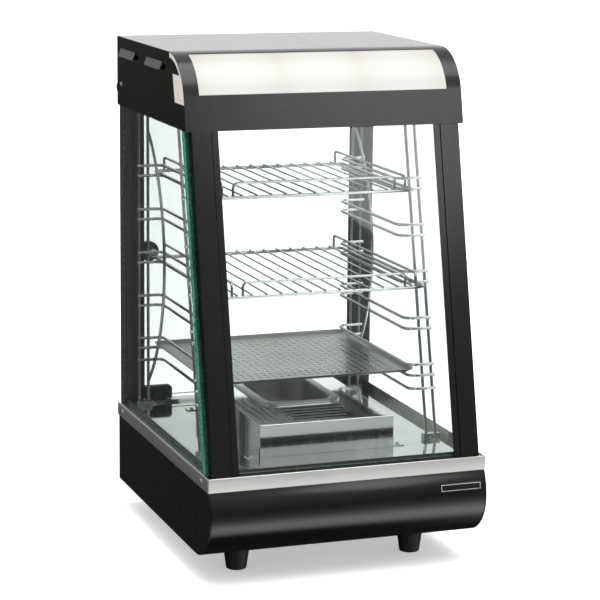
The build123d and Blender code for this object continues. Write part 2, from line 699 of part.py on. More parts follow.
def cable_gland():
    """A threaded gland: hexagon, dome, thread behind the panel, one straight bore."""
    nut = Pos(GLAND_X, BODY_BACK, GLAND_Z) * Rot(-90, 0, 0) * extrude(RegularPolygon(12.5, 6), amount=6)
    body = nut + peg_y(GLAND_X, BODY_BACK + 5, 529, GLAND_Z, 9.5)
    body += peg_y(GLAND_X, 498, BODY_BACK + 1, GLAND_Z, 8)
    return body - peg_y(GLAND_X, 490, 540, GLAND_Z, GLAND_BORE)


def foot_places():
    return [(x, y) for x in (-FOOT_X, FOOT_X) for y in FOOT_YS]


os.makedirs("parts", exist_ok=True)

save("base_cheek_right", base_cheek())
save("base_cheek_left", mirrored(base_cheek()))
save("base_front_panel", base_front_panel())
save("badge_plate", badge_plate())
save("base_bottom_plate", base_bottom_plate())
save("base_rear_panel", base_rear_panel())
save("feet", *[foot(x, y) for x, y in foot_places()])
save("trim_band", trim_band())

save("floor_plate", floor_plate())
save("side_channels", side_channel(), mirrored(side_channel()))
save("side_glass_right", side_glass())
save("side_glass_left", mirrored(side_glass()))
save("front_post_right", front_post())
save("front_post_left", mirrored(front_post()))
save("glazing_beads", glazing_bead(), mirrored(glazing_bead()))
save("front_glass", front_glass())
save("front_glass_rest", front_glass_rest())
save("rear_post_right", rear_post())
save("rear_post_left", mirrored(rear_post()))
save("rear_sill", rear_sill())

save("door_glass", door_glass())
save("lower_hinge_clamp", lower_hinge_clamp())
save("upper_hinge_clamp", upper_hinge_clamp())
save("door_pivot_pins", *pivot_pins())
save("door_catch_plate", catch_plate())
save("door_catch_magnet", catch_magnet())
save("door_knob", door_knob())
save("door_knob_screw", door_knob_screw())

save("hood_cheek_right", hood_cheek())
save("hood_cheek_left", mirrored(hood_cheek()))
save("hood_fascia", hood_fascia())
save("light_diffuser", light_diffuser())
save("hood_top", hood_top())
save("hood_rear_panel", hood_rear_panel())
save("hood_ceiling", hood_ceiling())
save("lamp_reflector", lamp_reflector())
save("lamp_holders", *[lamp_holder(step * LAMP_PITCH) for step in (-1, 0, 1)])
save("lamps", *[lamp(step * LAMP_PITCH) for step in (-1, 0, 1)])
save("wall_buffers", wall_buffer(-BUFFER_X), wall_buffer(BUFFER_X))

rack = side_rack()
save("side_rack_right", rack)
save("side_rack_left", mirrored(rack))
save("rack_clips", *rack_clips())
save("upper_shelf", shelf(UPPER_FRONT, RAIL_TOP - RAIL_SLOT))
save("lower_shelf", shelf(LOWER_FRONT, RAIL_TOP - 2 * RAIL_PITCH - RAIL_SLOT))
save("tray", tray())

save("heater_box", heater_box())
save("heater_lugs", *[heater_lug(x, y) for x in (-LUG_X, LUG_X) for y in LUG_YS])
save("water_pan", water_pan())
save("heating_element", heating_element())
save("temperature_feeler", temperature_feeler())
save("case_screws", *case_screws())

save("thermostat", thermostat())
save("thermostat_shaft", thermostat_shaft())
save("thermostat_knob", thermostat_knob())
save("dial_plate", dial_plate())
save("switch_frames", *[switch_frame(x) for x in SWITCH_XS])
save("heating_rocker", rocker(SWITCH_XS[0]))
save("lamp_rocker", rocker(SWITCH_XS[1]))
save("pilot_lamp", pilot_lamp())
save("cable_gland", cable_gland())
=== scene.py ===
import bmesh
import bpy
import math
from mathutils import Matrix, Quaternion, Vector


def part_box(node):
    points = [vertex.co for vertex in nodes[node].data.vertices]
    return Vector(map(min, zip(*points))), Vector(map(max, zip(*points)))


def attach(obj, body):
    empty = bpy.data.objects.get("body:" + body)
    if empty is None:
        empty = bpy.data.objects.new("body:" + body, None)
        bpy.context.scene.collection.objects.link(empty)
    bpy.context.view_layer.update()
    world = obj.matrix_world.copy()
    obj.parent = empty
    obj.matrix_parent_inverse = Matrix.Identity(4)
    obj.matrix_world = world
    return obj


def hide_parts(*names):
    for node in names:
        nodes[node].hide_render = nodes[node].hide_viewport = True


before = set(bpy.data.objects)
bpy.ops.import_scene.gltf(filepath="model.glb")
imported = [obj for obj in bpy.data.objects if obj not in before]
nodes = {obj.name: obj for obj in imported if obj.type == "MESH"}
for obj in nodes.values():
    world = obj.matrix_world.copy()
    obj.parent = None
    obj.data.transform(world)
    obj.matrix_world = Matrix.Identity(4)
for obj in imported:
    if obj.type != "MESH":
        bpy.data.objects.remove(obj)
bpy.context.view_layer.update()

# ---- Feet ----
# Four black rubber feet, moulded as tapered cups with a rounded sole.
# Each is held by a screw that goes up through it into the base.

MM = 0.001
MELT = 0.00001
GRAIN_LOW, GRAIN_HIGH = 0.3, 0.7
face_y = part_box("trim_band")[0].y


def at(x, y, z):
    """A point given in millimetres, with y counted back from the trim band's front face."""
    return Vector((x * MM, face_y + y * MM, z * MM))


def new_material(name, base, roughness, metallic=0.0):
    """A shader with its plain values set, ready for grain, bump and wear."""
    mat = bpy.data.materials.new(name)
    mat.use_nodes = True
    shader = mat.node_tree.nodes["Principled BSDF"]
    shader.inputs["Base Color"].default_value = (*base, 1)
    shader.inputs["Roughness"].default_value = roughness
    shader.inputs["Metallic"].default_value = metallic
    return mat, shader


def feed(mat, value, shader, socket):
    """Join a value to one of the shader's sockets."""
    mat.node_tree.links.new(value, shader.inputs[socket])


def grain(mat, scale, stretch=(1, 1, 1), detail=4.0):
    """Noise laid over the piece in real lengths; stretch pulls it into brush lines."""
    tree = mat.node_tree
    place = tree.nodes.new("ShaderNodeTexCoord")
    mapping = tree.nodes.new("ShaderNodeMapping")
    mapping.inputs["Scale"].default_value = stretch
    noise = tree.nodes.new("ShaderNodeTexNoise")
    noise.inputs["Scale"].default_value = scale
    noise.inputs["Detail"].default_value = detail
    tree.links.new(place.outputs["Object"], mapping.inputs["Vector"])
    tree.links.new(mapping.outputs["Vector"], noise.inputs["Vector"])
    return noise.outputs["Fac"]


def map_range(tree, value, start, end, low=0.0, high=1.0, smooth=False):
    """A value carried over from one range to another."""
    node = tree.nodes.new("ShaderNodeMapRange")
    if smooth:
        node.interpolation_type = "SMOOTHSTEP"
    node.inputs["From Min"].default_value = start
    node.inputs["From Max"].default_value = end
    node.inputs["To Min"].default_value = low
    node.inputs["To Max"].default_value = high
    tree.links.new(value, node.inputs["Value"])
    return node.outputs["Result"]


def colour_ramp(tree, value, stops):
    """A value turned into colours; the first two stops are the ramp's own, the rest are added."""
    node = tree.nodes.new("ShaderNodeValToRGB")
    elements = node.color_ramp.elements
    for i, (position, colour) in enumerate(stops):
        stop = elements[i] if i < 2 else elements.new(position)
        stop.position = position
        stop.color = (*colour, 1)
    tree.links.new(value, node.inputs["Fac"])
    return node.outputs["Color"]


def spread(mat, value, low, high):
    """A grain value turned into a range of numbers."""
    return map_range(mat.node_tree, value, GRAIN_LOW, GRAIN_HIGH, low, high)


def tint(mat, value, dark, light):
    """A grain value turned into a range of colours."""
    return colour_ramp(mat.node_tree, value, [(GRAIN_LOW, dark), (GRAIN_HIGH, light)])


def raise_grain(mat, shader, value, depth, strength=1.0):
    """Bump of a real depth, in metres."""
    bump = mat.node_tree.nodes.new("ShaderNodeBump")
    bump.inputs["Strength"].default_value = strength
    bump.inputs["Distance"].default_value = depth
    mat.node_tree.links.new(value, bump.inputs["Height"])
    feed(mat, bump.outputs["Normal"], shader, "Normal")


def moulded(name, dark, light, roughness, pitch=900):
    """Moulded rubber or plastic: fine grain, patchy sheen, faint mottling."""
    mat, shader = new_material(name, light, roughness)
    fine = grain(mat, pitch)
    broad = grain(mat, 25)
    feed(mat, tint(mat, broad, dark, light), shader, "Base Color")
    feed(mat, spread(mat, fine, roughness - 0.06, roughness + 0.06), shader, "Roughness")
    raise_grain(mat, shader, fine, 0.00004, 0.6)
    return mat


def piece(name, bm, materials, body="case", sharp=35):
    """Turn a mesh under construction into a piece that rides on a body."""
    bmesh.ops.remove_doubles(bm, verts=bm.verts, dist=MELT)
    if all(len(edge.link_faces) == 2 for edge in bm.edges):
        bmesh.ops.recalc_face_normals(bm, faces=bm.faces)
    for face in bm.faces:
        face.smooth = True
    for edge in bm.edges:
        if len(edge.link_faces) != 2 or edge.calc_face_angle(0) > math.radians(sharp):
            edge.smooth = False
    mesh = bpy.data.meshes.new(name)
    bm.to_mesh(mesh)
    bm.free()
    for mat in materials:
        mesh.materials.append(mat)
    obj = bpy.data.objects.new(name, mesh)
    bpy.context.scene.collection.objects.link(obj)
    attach(obj, body)
    return obj


def turned(bm, profile, place, steps=48):
    """Spin a profile of (radius, height) points about the place's own z axis."""
    rings = []
    for r, h in profile:
        if r == 0:
            rings.append([bm.verts.new(place @ Vector((0, 0, h * MM)))])
            continue
        ring = []
        for i in range(steps):
            a = 2 * math.pi * i / steps
            ring.append(bm.verts.new(place @ Vector((r * math.cos(a) * MM, r * math.sin(a) * MM, h * MM))))
        rings.append(ring)
    for lower, upper in zip(rings, rings[1:]):
        for i in range(steps):
            j = (i + 1) % steps
            corners = [lower[i % len(lower)], lower[j % len(lower)],
                       upper[j % len(upper)], upper[i % len(upper)]]
            kept = [v for k, v in enumerate(corners) if v not in corners[:k]]
            bm.faces.new(kept)


def corner(cr, cz, r, start, end, steps=6):
    """Points of a round corner in a profile, angles in degrees."""
    points = []
    for i in range(steps + 1):
        a = math.radians(start + (end - start) * i / steps)
        points.append((cr + r * math.cos(a), cz + r * math.sin(a)))
    return points


rubber = moulded("black_rubber", (0.003, 0.003, 0.003), (0.006, 0.006, 0.0055), 0.45)
rubber.node_tree.nodes["Principled BSDF"].inputs["Specular IOR Level"].default_value = 0.12
foot_low, foot_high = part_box("feet")
FOOT_INSET = 22.5
foot_x = foot_high.x / MM - FOOT_INSET
foot_profile = [(6.5, 34), (6.5, 2.0), *corner(7.5, 1.0, 1.0, 180, 270, 3),
                *corner(14.2, 2.2, 2.2, 270, 352),
                (21.9, 41.5), *corner(21.1, 43.7, 1.3, 0, 90, 4), (2.6, 45), (2.6, 34), (6.5, 34)]
bm = bmesh.new()
for x in (-foot_x, foot_x):
    for y in (foot_low.y + FOOT_INSET * MM, foot_high.y - FOOT_INSET * MM):
        turned(bm, foot_profile, Matrix.Translation((x * MM, y, 0)))
feet = piece("rubber_feet", bm, [rubber])
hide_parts("feet")

# ---- Base casing ----
# Two flat side cheeks and a rear panel of sheet steel, sprayed satin black, and a bottom plate of bare
# zinc-coated sheet.
# The cut edges are broken, so they catch a thin line of light.


def eased(name, mat, width=0.4, steps=2):
    """Keep a sheet or bar as it is, with its sharp edges broken and its own finish."""
    obj = nodes[name]
    obj.data.materials.clear()
    obj.data.materials.append(mat)
    weld = obj.modifiers.new("join_faces", "WELD")
    weld.merge_threshold = MELT
    flat = obj.modifiers.new("merge_flats", "DECIMATE")
    flat.decimate_type = "DISSOLVE"
    flat.angle_limit = math.radians(0.4)
    bevel = obj.modifiers.new("broken_edge", "BEVEL")
    bevel.width = width * MM
    bevel.segments = steps
    bevel.limit_method = "ANGLE"
    bevel.angle_limit = math.radians(32)
    bevel.harden_normals = True
    bevel.use_clamp_overlap = True
    return obj


def finished(name, mat):
    """Keep a piece's own smooth shape and give it its finish."""
    obj = nodes[name]
    obj.data.materials.clear()
    obj.data.materials.append(mat)
    return obj


def painted(name, dark, light, roughness, peel=0.00002):
    """Stoved paint on sheet steel: slight orange peel, dust-fine speckle, uneven sheen."""
    mat, shader = new_material(name, light, roughness)
    feed(mat, tint(mat, grain(mat, 9), dark, light), shader, "Base Color")
    feed(mat, spread(mat, grain(mat, 60), roughness - 0.01, roughness + 0.01), shader, "Roughness")
    raise_grain(mat, shader, grain(mat, 420), peel, 0.5)
    shader.inputs["Specular IOR Level"].default_value = 0.5
    return mat


black_paint = painted("black_paint", (0.0022, 0.0022, 0.0019), (0.0035, 0.0035, 0.0031), 0.18, 0.000004)
eased("base_cheek_right", black_paint)
eased("base_cheek_left", black_paint)
eased("base_rear_panel", black_paint)


def brushed(name, dark, light, roughness, stretch, depth=0.000004, scale=70):
    """Brushed or rolled steel: long fine lines in one direction, with faint cloudy marks."""
    mat, shader = new_material(name, light, roughness, 1.0)
    lines = grain(mat, scale, stretch, 6.0)
    cloud = grain(mat, 7)
    feed(mat, tint(mat, cloud, dark, light), shader, "Base Color")
    feed(mat, spread(mat, lines, roughness - 0.05, roughness + 0.05), shader, "Roughness")
    raise_grain(mat, shader, lines, depth)
    return mat


zinc_sheet = brushed("zinc_sheet", (0.42, 0.43, 0.43), (0.52, 0.53, 0.53), 0.42, (1, 1, 1), 0.000006, 120)
eased("base_bottom_plate", zinc_sheet, 0.3)

# ---- Bulged front panel ----
# One sheet rolled to a soft bulge: a broad curve above, a tighter nose and a long rolled chin.
# It is tucked between the cheeks, with its end edges rolled over a little.

PANEL_SHEET = 1.5
NOSE_Z = 114.0
BROW_R, NOSE_R, CHIN_R, NOSE_TURN, BULGE = 90.0, 60.0, 78.0, 30.0, 10.0
CHIN_END = 266
panel_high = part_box("base_front_panel")[1]
panel_half = panel_high.x / MM


def rolled(bm, path, half, thick, roll):
    """A sheet along a side-view path from -half to half, its two ends turned inwards by a small roll."""
    count = len(path)
    normals = []
    for i in range(count):
        a, b = Vector(path[max(i - 1, 0)]), Vector(path[min(i + 1, count - 1)])
        along = (b - a).normalized()
        normals.append(Vector((-along.y, along.x)))
    stations = []
    for i in range(6):
        turn = math.pi / 2 * i / 5
        stations.append((half - roll + roll * math.sin(turn), roll - roll * math.cos(turn)))
    stations.append((half, thick))
    columns = [(-x, depth) for x, depth in reversed(stations)] + stations
    outer = []
    for x, depth in columns:
        outer.append([bm.verts.new(at(x, p[0] + n.x * depth, p[1] + n.y * depth))
                      for p, n in zip(path, normals)])
    inner = []
    for x in (-half, half):
        inner.append([bm.verts.new(at(x, p[0] + n.x * thick, p[1] + n.y * thick))
                      for p, n in zip(path, normals)])
    for left, right in zip(outer, outer[1:]):
        for i in range(count - 1):
            bm.faces.new((left[i], right[i], right[i + 1], left[i + 1]))
    for i in range(count - 1):
        bm.faces.new((inner[0][i], inner[0][i + 1], inner[1][i + 1], inner[1][i]))
    for i in (0, count - 1):
        rim = [column[i] for column in outer] + [inner[1][i], inner[0][i]]
        bm.faces.new(rim if i == 0 else rim[::-1])


top_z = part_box("base_front_panel")[1].z / MM
brow_y, nose_y = BROW_R - BULGE, NOSE_R - BULGE
chin_shift = CHIN_R - NOSE_R
chin_y = nose_y + chin_shift * math.cos(math.radians(NOSE_TURN))
chin_z = NOSE_Z + chin_shift * math.sin(math.radians(NOSE_TURN))
top_turn = math.degrees(math.asin((top_z - NOSE_Z) / BROW_R))
bulge_path = corner(brow_y, NOSE_Z, BROW_R, 180 - top_turn, 180, 14)
bulge_path += corner(nose_y, NOSE_Z, NOSE_R, 180, 180 + NOSE_TURN, 14)[1:]
bulge_path += corner(chin_y, chin_z, CHIN_R, 180 + NOSE_TURN, CHIN_END, 26)[1:]
bm = bmesh.new()
rolled(bm, bulge_path, panel_half, PANEL_SHEET, 1.2)
front_panel = piece("bulged_front_panel", bm, [black_paint], sharp=50)
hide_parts("base_front_panel")

# ---- Badge ----
# A blank nameplate stuck to the front panel: gloss black, with a bright line inside its edge.

badge_black = painted("badge_black", (0.004, 0.004, 0.004), (0.006, 0.006, 0.006), 0.16)
eased("badge_plate", badge_black, 0.25)
bright_print, shader = new_material("bright_print", (0.74, 0.74, 0.72), 0.35, 0.6)
feed(bright_print, spread(bright_print, grain(bright_print, 300), 0.28, 0.42), shader, "Roughness")
badge_low, badge_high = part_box("badge_plate")
bm = bmesh.new()
LINE, INSET = 0.7, 1.6
PRINT_FRONT, PRINT_BACK = 1.0, 0.8
x0, x1 = badge_low.x / MM + INSET, badge_high.x / MM - INSET
z0, z1 = badge_low.z / MM + INSET, badge_high.z / MM - INSET


def bulge_y(z, lift):
    """How far forward the panel's skin stands at a height above the nose, plus a lift."""
    r = BROW_R + lift
    return brow_y - math.sqrt(r * r - (z - NOSE_Z) ** 2)


frame_lines = [(x0, x1, z1 - LINE, z1), (x0, x1, z0, z0 + LINE), (x0, x0 + LINE, z0 + LINE, z1 - LINE),
               (x1 - LINE, x1, z0 + LINE, z1 - LINE)]
for left, right, low, high in frame_lines:
    steps = 8 if high - low > 1 else 1
    for i in range(steps):
        a, b = low + (high - low) * i / steps, low + (high - low) * (i + 1) / steps
        block = ((left, a), (right, a), (right, b), (left, b))
        front = [bm.verts.new(at(x, bulge_y(z, PRINT_FRONT), z)) for x, z in block]
        back = [bm.verts.new(at(x, bulge_y(z, PRINT_BACK), z)) for x, z in block]
        bm.faces.new(front)
        bm.faces.new(back[::-1])
        for k in range(4):
            bm.faces.new((front[k], back[k], back[(k + 1) % 4], front[(k + 1) % 4]))
badge_line = piece("badge_border", bm, [bright_print])

# ---- Trim band ----
# A bright stainless strip bent round the front and both sides of the case, with small round corners.
# Its upper edge is turned in over the floor plate. Two screws on each side hold it.

TRIM_BEND = 2.5
TRIM_SHEET = 1.2
trim_low, trim_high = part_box("trim_band")
half_w, trim_back = trim_high.x / MM, (trim_high.y - face_y) / MM
trim_bottom, trim_top = trim_low.z / MM, trim_high.z / MM
satin_steel = brushed("satin_steel", (0.80, 0.805, 0.785), (0.88, 0.88, 0.86), 0.42,
                      (0.02, 0.02, 1), 0.000002, 260)
plan = [(-half_w, trim_back, -1, 0), (-half_w, TRIM_BEND, -1, 0)]
for i in range(1, 8):
    a = math.pi / 2 * i / 8
    plan.append((-half_w + TRIM_BEND - TRIM_BEND * math.cos(a), TRIM_BEND - TRIM_BEND * math.sin(a),
                 -math.cos(a), -math.sin(a)))
plan.append((-half_w + TRIM_BEND, 0, 0, -1))
plan += [(-x, y, -nx, ny) for x, y, nx, ny in reversed(plan)]
edge_r = 1.0
section = [(TRIM_SHEET, trim_bottom), (0.3, trim_bottom), (0, trim_bottom + 0.3)]
for i in range(6):
    a = math.pi / 2 * i / 5
    section.append((edge_r - edge_r * math.cos(a), trim_top - edge_r + edge_r * math.sin(a)))
section += [(2.5, trim_top), (2.5, trim_top - TRIM_SHEET), (TRIM_SHEET, trim_top - TRIM_SHEET)]
bm = bmesh.new()
loops = []
for x, y, nx, ny in plan:
    loops.append([bm.verts.new(at(x - nx * inward, y - ny * inward, z)) for inward, z in section])
size = len(section)
for a, b in zip(loops, loops[1:]):
    for i in range(size):
        j = (i + 1) % size
        bm.faces.new((a[i], b[i], b[j], a[j]))
bm.faces.new(loops[0])
bm.faces.new(loops[-1][::-1])
bmesh.ops.recalc_face_normals(bm, faces=bm.faces)
trim = piece("bright_trim", bm, [satin_steel], sharp=40)
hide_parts("trim_band")

# ---- Screws ----
# Small zinc-plated screws with domed heads and a cross recess, and the four long screws in the feet.

zinc_bright = brushed("zinc_bright", (0.50, 0.50, 0.49), (0.66, 0.66, 0.64), 0.28, (1, 1, 1), 0.000006, 500)


def cross_screw(bm, place, head_r=3.8, head_h=2.2, shank=3.0, shank_r=2.0):
    """A domed head with a pressed cross, on a short shank that runs down the place's z axis. The cross
    takes the second material, dark grey as painted shade in its recess.
    """
    dome = [(head_r * math.cos(math.radians(a)), 0.3 + (head_h - 0.3) * math.sin(math.radians(a)))
            for a in range(0, 90, 12)]
    turned(bm, [(0, -shank), (shank_r, -shank), (shank_r, 0), (head_r, 0), *dome,
                (0.9, head_h), (0, head_h - 0.9)],
           place, 32)
    for turn in (0, 90):
        turn_place = place @ Matrix.Rotation(math.radians(turn), 4, "Z")
        reach = head_r * 0.55
        made = add_box(bm, turn_place, (-reach, -0.42, head_h - 0.9), (reach, 0.42, head_h - 0.02))
        for face in {face for v in made for face in v.link_faces}:
            # The cross is dark grey: painted shade standing in for the recess.
            face.material_index = 1


def add_box(bm, place, low, high):
    """A plain block between two corners, in millimetres in the place's own axes."""
    made = bmesh.ops.create_cube(bm, size=1)["verts"]
    for v in made:
        share = [0.5 + c for c in v.co]
        v.co = place @ Vector([(low[k] + (high[k] - low[k]) * share[k]) * MM for k in range(3)])
    return made


def facing(origin, direction):
    """A place whose z axis points along a direction."""
    return Matrix.Translation(origin) @ Vector(direction).to_track_quat("Z", "Y").to_matrix().to_4x4()


TRIM_SCREWS = ((35, 169), (485, 169))
HOOD_SCREW = (229.3, 486, 730)
LUG_SCREW_X, LUG_SCREW_Z = 124, 180.05
LUG_SCREW_ROWS, FOOT_SCREW_ROWS = (111, 428), (109, 430)
hood_x, hood_y, hood_z = HOOD_SCREW
bm = bmesh.new()
for side in (-1, 1):
    for y, z in TRIM_SCREWS:
        cross_screw(bm, facing(at(side * half_w, y, z), (side, 0, 0)))
    cross_screw(bm, facing(at(side * hood_x, hood_y, hood_z), (side, 0, 0)))
    for y in LUG_SCREW_ROWS:
        cross_screw(bm, facing(at(side * LUG_SCREW_X, y, LUG_SCREW_Z), (0, 0, 1)))
for x in (-foot_x, foot_x):
    for y in FOOT_SCREW_ROWS:
        turned(bm, [(0, 30.8), (1.8, 30.5), (4.2, 30.5), (5, 31.2), (5, 34), (2.5, 34), (2.5, 53), (0, 53)],
               Matrix.Translation(at(x, y, 0)), 32)
# The cross recess colour is painted shade, not the screw's own colour.
recess_shade = moulded("screw_recess_shade", (0.03, 0.03, 0.03), (0.06, 0.06, 0.058), 0.5)
screws = piece("cross_head_screws", bm, [zinc_bright, recess_shade], sharp=30)
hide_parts("case_screws")

# ---- Floor of the cabinet ----
# A mirror-polished stainless plate, folded down at its edges, that rests on the base.
# Steel angles along both sides carry the side panes.

mirror_steel = brushed("mirror_steel", (0.70, 0.72, 0.70), (0.78, 0.80, 0.78), 0.07,
                       (1, 0.02, 1), 0.0000006, 160)
eased("floor_plate", mirror_steel, 0.5)
eased("side_channels", zinc_bright, 0.2)
eased("rear_sill", mirror_steel, 0.4)

# ---- Heater box ----
# A polished steel cover, folded on four sides and open below. Its top has five round-ended slots over
# the element and a square opening that the water pan hangs in. Four lugs screw it to the floor.

BOX_SHEET = 1.5
SLOT_LONG, SLOT_WIDE, SLOT_PITCH, SLOT_FIRST, SLOTS, SLOT_X = 104.0, 7.5, 17.0, 119.0, 5, 2.0
PAN_OPENING = 1.0
BOX_BEND = 2.0
box_low, box_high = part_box("heater_box")
box_half, box_top = box_high.x / MM, box_high.z / MM
box_front, box_back = (box_low.y - face_y) / MM, (box_high.y - face_y) / MM


def loop_edges(bm, points, z):
    """A closed flat loop of edges at one height."""
    verts = [bm.verts.new(at(x, y, z)) for x, y in points]
    return [bm.edges.new((a, b)) for a, b in zip(verts, verts[1:] + verts[:1])]


def round_rect(half_x, y0, y1, r, steps=6, cx=0.0):
    """Points of a rounded rectangle, anticlockwise from above."""
    points = []
    for sx, y, start in ((1, y1, 0), (-1, y1, 90), (-1, y0, 180), (1, y0, 270)):
        my = y - r if y == y1 else y + r
        points += corner(cx + sx * (half_x - r), my, r, start, start + 90, steps)
    return points


def thicken(obj, amount, offset=-1.0):
    """Give a sheet its thickness."""
    solid = obj.modifiers.new("sheet_thickness", "SOLIDIFY")
    solid.thickness = amount * MM
    solid.offset = offset
    solid.use_even_offset = True
    level = obj.modifiers.new("level_shading", "WEIGHTED_NORMAL")
    level.keep_sharp = True
    level.weight = 100
    return solid


def break_edges(obj, width, steps=2):
    """Round every sharp edge a little."""
    bevel = obj.modifiers.new("broken_edge", "BEVEL")
    bevel.width = width * MM
    bevel.segments = steps
    bevel.limit_method = "ANGLE"
    bevel.angle_limit = math.radians(35)
    bevel.harden_normals = True


pan_low, pan_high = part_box("water_pan")
FLANGE = 13.0
pan_half = pan_high.x / MM - FLANGE
pan_front, pan_back = (pan_low.y - face_y) / MM + FLANGE, (pan_high.y - face_y) / MM - FLANGE
bm = bmesh.new()
top_outline = round_rect(box_half - BOX_BEND, box_front + BOX_BEND, box_back - BOX_BEND, 0.4, 1)
edges = loop_edges(bm, top_outline, box_top)
for i in range(SLOTS):
    y = SLOT_FIRST + i * SLOT_PITCH
    slot = round_rect(SLOT_LONG / 2, y - SLOT_WIDE / 2, y + SLOT_WIDE / 2, SLOT_WIDE / 2 - 0.01, 8, SLOT_X)
    edges += loop_edges(bm, slot, box_top)
opening = round_rect(pan_half + PAN_OPENING, pan_front - PAN_OPENING, pan_back + PAN_OPENING, 16)
edges += loop_edges(bm, opening, box_top)
bmesh.ops.triangle_fill(bm, use_beauty=True, edges=edges, normal=(0, 0, 1))
for face in bm.faces:
    if face.normal.z < 0:
        face.normal_flip()
outer = []
for v in bm.verts:
    x, y = abs(v.co.x) / MM, (v.co.y - face_y) / MM
    gaps = (x - (box_half - BOX_BEND), y - box_front - BOX_BEND, y - box_back + BOX_BEND)
    if min(abs(gap) for gap in gaps) < 0.5:
        outer.append(v)
outer_edges = [e for e in bm.edges if e.is_boundary and all(v in outer for v in e.verts)]
NEAR_EDGE = 0.98
centre_y = (box_front + box_back) / 2
steps = [(BOX_BEND * math.sin(math.pi / 2 * i / 5), BOX_BEND - BOX_BEND * math.cos(math.pi / 2 * i / 5))
         for i in range(1, 6)]
steps.append((BOX_BEND, box_top - box_low.z / MM))
inner_x, inner_y = box_half - BOX_BEND, (box_back - box_front) / 2 - BOX_BEND
ring_edges = outer_edges
for out, down in steps:
    made = bmesh.ops.extrude_edge_only(bm, edges=ring_edges)["geom"]
    ring_edges = [g for g in made if isinstance(g, bmesh.types.BMEdge) and g.is_boundary]
    for v in [g for g in made if isinstance(g, bmesh.types.BMVert)]:
        x, y = v.co.x / MM, (v.co.y - face_y) / MM - centre_y
        if abs(x) > inner_x * NEAR_EDGE:
            x = math.copysign(inner_x + out, x)
        if abs(y) > inner_y * NEAR_EDGE:
            y = math.copysign(inner_y + out, y)
        v.co = at(x, centre_y + y, box_top - down)
bmesh.ops.recalc_face_normals(bm, faces=bm.faces)
cover_steel = brushed("cover_steel", (0.86, 0.87, 0.85), (0.93, 0.94, 0.92), 0.08,
                      (1, 1, 0.02), 0.0000006, 160)
heater = piece("heater_cover", bm, [cover_steel], sharp=50)
thicken(heater, BOX_SHEET)
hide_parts("heater_box")
eased("heater_lugs", mirror_steel, 0.3)

element_steel = brushed("element_steel", (0.16, 0.14, 0.13), (0.30, 0.28, 0.27), 0.45,
                        (1, 1, 1), 0.00001, 300)
finished("heating_element", element_steel)
finished("temperature_feeler", zinc_bright)

# ---- Water pan ----
# A deep-drawn stainless pan with round corners and a rounded bottom edge. Its broad flange is turned
# down at the rim and rests on the heater box, and the pan lifts out by it.

PAN_SHEET, PAN_R = 1.0, 24.0
pan_top, pan_bottom = pan_high.z / MM, pan_low.z / MM
pan_cy = (pan_front + pan_back) / 2
half_y = (pan_back - pan_front) / 2
rings = [(-FLANGE, 3.2), (-FLANGE, 1.4), (-FLANGE + 0.4, 0.5), (-FLANGE + 1.3, 0), (-2.0, 0),
         (-0.6, 0.35), (0.2, 1.2), (0.5, 2.4)]
depth = pan_top - pan_bottom
BOTTOM_R, WALL_INSET = 7.0, 2.2
rings.append((WALL_INSET, depth - BOTTOM_R))
for i in range(1, 7):
    a = math.pi / 2 * i / 6
    rings.append((WALL_INSET + BOTTOM_R - BOTTOM_R * math.cos(a),
                  depth - BOTTOM_R + BOTTOM_R * math.sin(a)))
bm = bmesh.new()
rows = []
for inset, down in rings:
    r = max(PAN_R - inset, 4) if inset > 0 else PAN_R + 2
    points = round_rect(pan_half - inset, pan_cy - half_y + inset, pan_cy + half_y - inset, r, 8)
    rows.append([bm.verts.new(at(x, y, pan_top - down)) for x, y in points])
for a, b in zip(rows, rows[1:]):
    for i in range(len(a)):
        j = (i + 1) % len(a)
        bm.faces.new((a[i], b[i], b[j], a[j]))
bm.faces.new(rows[-1][::-1])
bmesh.ops.recalc_face_normals(bm, faces=bm.faces)
if max(bm.faces, key=lambda f: len(f.verts)).normal.z < 0:
    bmesh.ops.reverse_faces(bm, faces=bm.faces)
pan_steel = brushed("drawn_steel", (0.62, 0.62, 0.61), (0.74, 0.74, 0.73), 0.33, (1, 1, 0.3), 0.000002, 120)
pan = piece("drawn_water_pan", bm, [pan_steel], "water_pan_body", sharp=60)
thicken(pan, PAN_SHEET - 0.1)
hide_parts("water_pan")

# ---- Wire racks and shelves ----
# Round steel wire, bent cold, spot-welded where it crosses, then chromium plated.
# The racks stand in small blocks; the shelves only lie on their rails.

chrome, shader = new_material("chromed_wire", (0.72, 0.72, 0.70), 0.11, 1.0)
plated = tint(chrome, grain(chrome, 35), (0.60, 0.60, 0.585), (0.76, 0.76, 0.745))
feed(chrome, plated, shader, "Base Color")
feed(chrome, spread(chrome, grain(chrome, 140), 0.08, 0.17), shader, "Roughness")
raise_grain(chrome, shader, grain(chrome, 500), 0.00001, 0.4)
for name in ("side_rack_right", "side_rack_left", "upper_shelf", "lower_shelf"):
    finished(name, chrome)
eased("rack_clips", zinc_bright, 0.8, 3)

# ---- Perforated tray ----
# A shallow stainless tray pressed from one sheet. Its flat is punched all over with round holes in
# straight rows, and its rim slopes up and out.

HOLE_PITCH, HOLE_R = 12.4, 3.3
COLUMNS, ROWS = 24, 22
RIM_OUT, RIM_UP = 10.0, 5.0
tray_low, tray_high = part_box("tray")
tray_half, tray_z = tray_high.x / MM, tray_low.z / MM + 1.0
tray_front, tray_back = (tray_low.y - face_y) / MM, (tray_high.y - face_y) / MM
tray_cy = (tray_front + tray_back) / 2
flat_x, flat_y = tray_half - RIM_OUT, (tray_back - tray_front) / 2 - RIM_OUT
bm = bmesh.new()
corners = {}


def shared(x, y):
    """One vertex for each place on the tray's flat, however many cells meet there."""
    key = (round(x, 3), round(y, 3))
    if key not in corners:
        corners[key] = bm.verts.new(at(x, tray_cy + y, tray_z))
    return corners[key]


